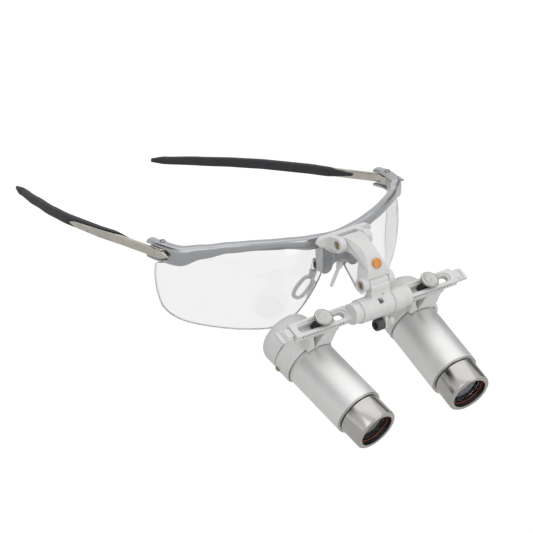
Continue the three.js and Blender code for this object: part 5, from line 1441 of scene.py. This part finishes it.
def knob_blank():
    """The knob before its flutes are cut: a stud, a disc, and a top dished in a shallow cone."""
    base, stop = rail_flat + KNOB_LIFT, -rail_flat - SADDLE_THICK
    top = base + KNOB_THICKNESS
    rows = [(0, stop), (STUD_RADIUS, stop), (STUD_RADIUS, base), (KNOB_RADIUS - 0.25, base),
            (KNOB_RADIUS, base + 0.25),
            (KNOB_RADIUS, top - 0.45), (KNOB_RADIUS - 0.12, top - 0.25), (KNOB_RADIUS - 0.4, top - 0.06),
            (KNOB_RADIUS - 0.7, top), (KNOB_RADIUS - 1.1, top - 0.04), (1.2, top - 0.42), (0.6, top - 0.3),
            (0, top - 0.26)]
    return loft([[(u, v, z) for u, v in circle(max(r, POLE), 120)] for r, z in rows])


for side, sign in SIDES:
    stand = frame_matrix(rail_turn, rail_turn @ Vector((sign * KNOB_X, 0, 0)) + rail_at)
    pearly = turned_metal(f"pearly_turned_steel_{side}", (0.42, 0.41, 0.39), (0.52, 0.51, 0.48),
                          (0.22, 0.32), 0.15,
                          at=stand, pitch=5200, marks=0.06, Anisotropic=0.6)
    knob = raw_object(f"thumb_knob_{side}_fluted", knob_blank())
    knob.data.transform(Matrix.Translation(NOSE_SEAT * MM))
    grown(knob, FLUTED_RIM, 30, Low=(rail_flat + KNOB_LIFT) * MM, Rim=KNOB_RADIUS * MM, Material=pearly)
    laid(knob, stand)
    mounted(knob, f"knob_{side}", "knob", f"thumb_knob_{side}")
    middle, high = sign * KNOB_X, rail_flat + KNOB_LIFT - GAP
    legs = [(-4.5, -rail_flat), (-3.4, -rail_flat), (-1.4, high - 0.9), (1.4, high - 0.9),
            (3.4, -rail_flat),
            (4.5, -rail_flat), (2.1, high), (-2.1, high)]
    folded = loft([[(middle + x, y, z) for x, z in legs] for y in (-1.4, 1.4)])
    nut = shaped(f"slot_nut_{side}_folded", [over_rail(folded)],
                 [over_rail(rod((middle, 0, -6), (middle, 0, 6), STUD_RADIUS + 0.25, 32))], cell=0.09,
                 rounds=3)
    dress(nut, black_anodised, f"optic_{side}", "black", f"slot_nut_{side}")

# ---- Studio -----------------------------------------------------------------------------------
# A pale table well below the part, which is held up by its nose seat; a broad soft light overhead,
# two strip lights that draw long highlights down the tubes, and a camera on a long lens.
CAMERA_AT = Vector((-0.56806, -0.69124, 0.42653))
CAMERA_AXES = ((0.7887, -0.6148, 0.0), (0.2614, 0.3353, 0.9051), (-0.5565, -0.7138, 0.4252))
CAMERA_LENS = 146.07
TABLE_HEIGHT = -0.16

table = bpy.data.objects.new("pale_table", bpy.data.meshes.new("pale_table"))
corners = [(x, y, TABLE_HEIGHT) for x, y in ((-6, -6), (6, -6), (6, 6), (-6, 6))]
table.data.from_pydata(corners, [], [(0, 1, 2, 3)])
bpy.context.scene.collection.objects.link(table)
paper, paper_tree, paper_shade = finish_of("pale_paper")
set_sockets(paper_shade, {"Base Color": (0.66, 0.66, 0.65, 1), "Roughness": 0.9, "Specular IOR Level": 0.1,
                          "Emission Color": (1, 1, 1, 1)})
# lit from within for the eye and through glass, but pale grey where it throws light up at the part
rays = wired(paper_tree, "ShaderNodeLightPath").outputs
looked_at = sum_of(paper_tree, "MAXIMUM", rays["Is Camera Ray"], rays["Is Transmission Ray"])
glow = sum_of(paper_tree, "MULTIPLY", looked_at, 0.42)
paper_tree.links.new(glow, paper_shade.inputs["Emission Strength"])
table.data.materials.append(paper)


def soft_light(name, at, aim, width, height, watts):
    lamp = bpy.data.lights.new(name, "AREA")
    lamp.shape, lamp.size, lamp.size_y = "RECTANGLE", width, height
    lamp.energy = watts
    holder = bpy.data.objects.new(name, lamp)
    holder.location = at
    holder.rotation_euler = (Vector(aim) - Vector(at)).to_track_quat("-Z", "Y").to_euler()
    bpy.context.scene.collection.objects.link(holder)


soft_light("overhead", (0.1, 0.2, 1.5), (0, 0, 0), 2.4, 2.2, 7)
soft_light("left_strip", (-1.1, -0.9, 0.7), (0, -0.05, 0), 0.9, 1.0, 2.6)
soft_light("front_strip", (0.5, -1.5, 0.3), (0, -0.05, 0), 0.7, 0.9, 2.2)

world = bpy.data.worlds.new("white_room")
bpy.context.scene.world = world
world.use_nodes = True
room = world.node_tree
gaze = wired(room, "ShaderNodeTexCoord").outputs["Generated"]
up = wired(room, "ShaderNodeSeparateXYZ", {"Vector": gaze}).outputs["Z"]
walls = wired(room, "ShaderNodeValToRGB", {"Fac": ranged(room, up, -1.0, 1.0, 0.0, 1.0)})
walls.color_ramp.elements[0].color = (1.0, 1.0, 1.0, 1)
walls.color_ramp.elements[1].color = (1.0, 1.0, 1.0, 1)
for where, level in ((0.5, 1.0), (0.58, 0.92), (0.7, 0.78), (0.82, 0.86), (0.92, 0.95)):
    stop = walls.color_ramp.elements.new(where)
    stop.color = (level, level, level * 1.01, 1)
# dark cards, each a direction, an angular radius and a level
CARDS = (((-0.671, 0.452, 0.588), 30, 0.0), ((0.83, 0.36, 0.42), 15, 0.12),
         ((-0.899, 0.275, 0.342), 11, 0.5),
         ((0.955, 0.275, 0.12), 30, 0.2))
looked = walls.outputs["Color"]
for way, spread, level in CARDS:
    lean = wired(room, "ShaderNodeVectorMath", {0: gaze, 1: way},
                 operation="DOT_PRODUCT")
    edge, middle = math.cos(math.radians(spread)), math.cos(math.radians(spread * 0.5))
    mask = wired(room, "ShaderNodeMapRange", {"Value": lean.outputs["Value"], "From Min": edge,
                                              "From Max": middle},
                 interpolation_type="SMOOTHSTEP")
    card = wired(room, "ShaderNodeMix", {"Factor": mask.outputs["Result"]}, data_type="RGBA")
    room.links.new(looked, card.inputs[6])
    card.inputs[7].default_value = (level, level, level, 1)
    looked = card.outputs[2]
room.links.new(looked, room.nodes["Background"].inputs["Color"])
room.nodes["Background"].inputs["Strength"].default_value = 1.0

lens_data = bpy.data.cameras.new("camera")
lens_data.lens, lens_data.sensor_width = CAMERA_LENS, 36.0
lens_data.clip_start, lens_data.clip_end = 0.05, 50.0
camera = bpy.data.objects.new("camera", lens_data)
camera.matrix_world = Matrix.Translation(CAMERA_AT) @ Matrix(CAMERA_AXES).transposed().to_4x4()
bpy.context.scene.collection.objects.link(camera)
bpy.context.scene.camera = camera
bpy.context.scene.view_settings.view_transform = "Standard"
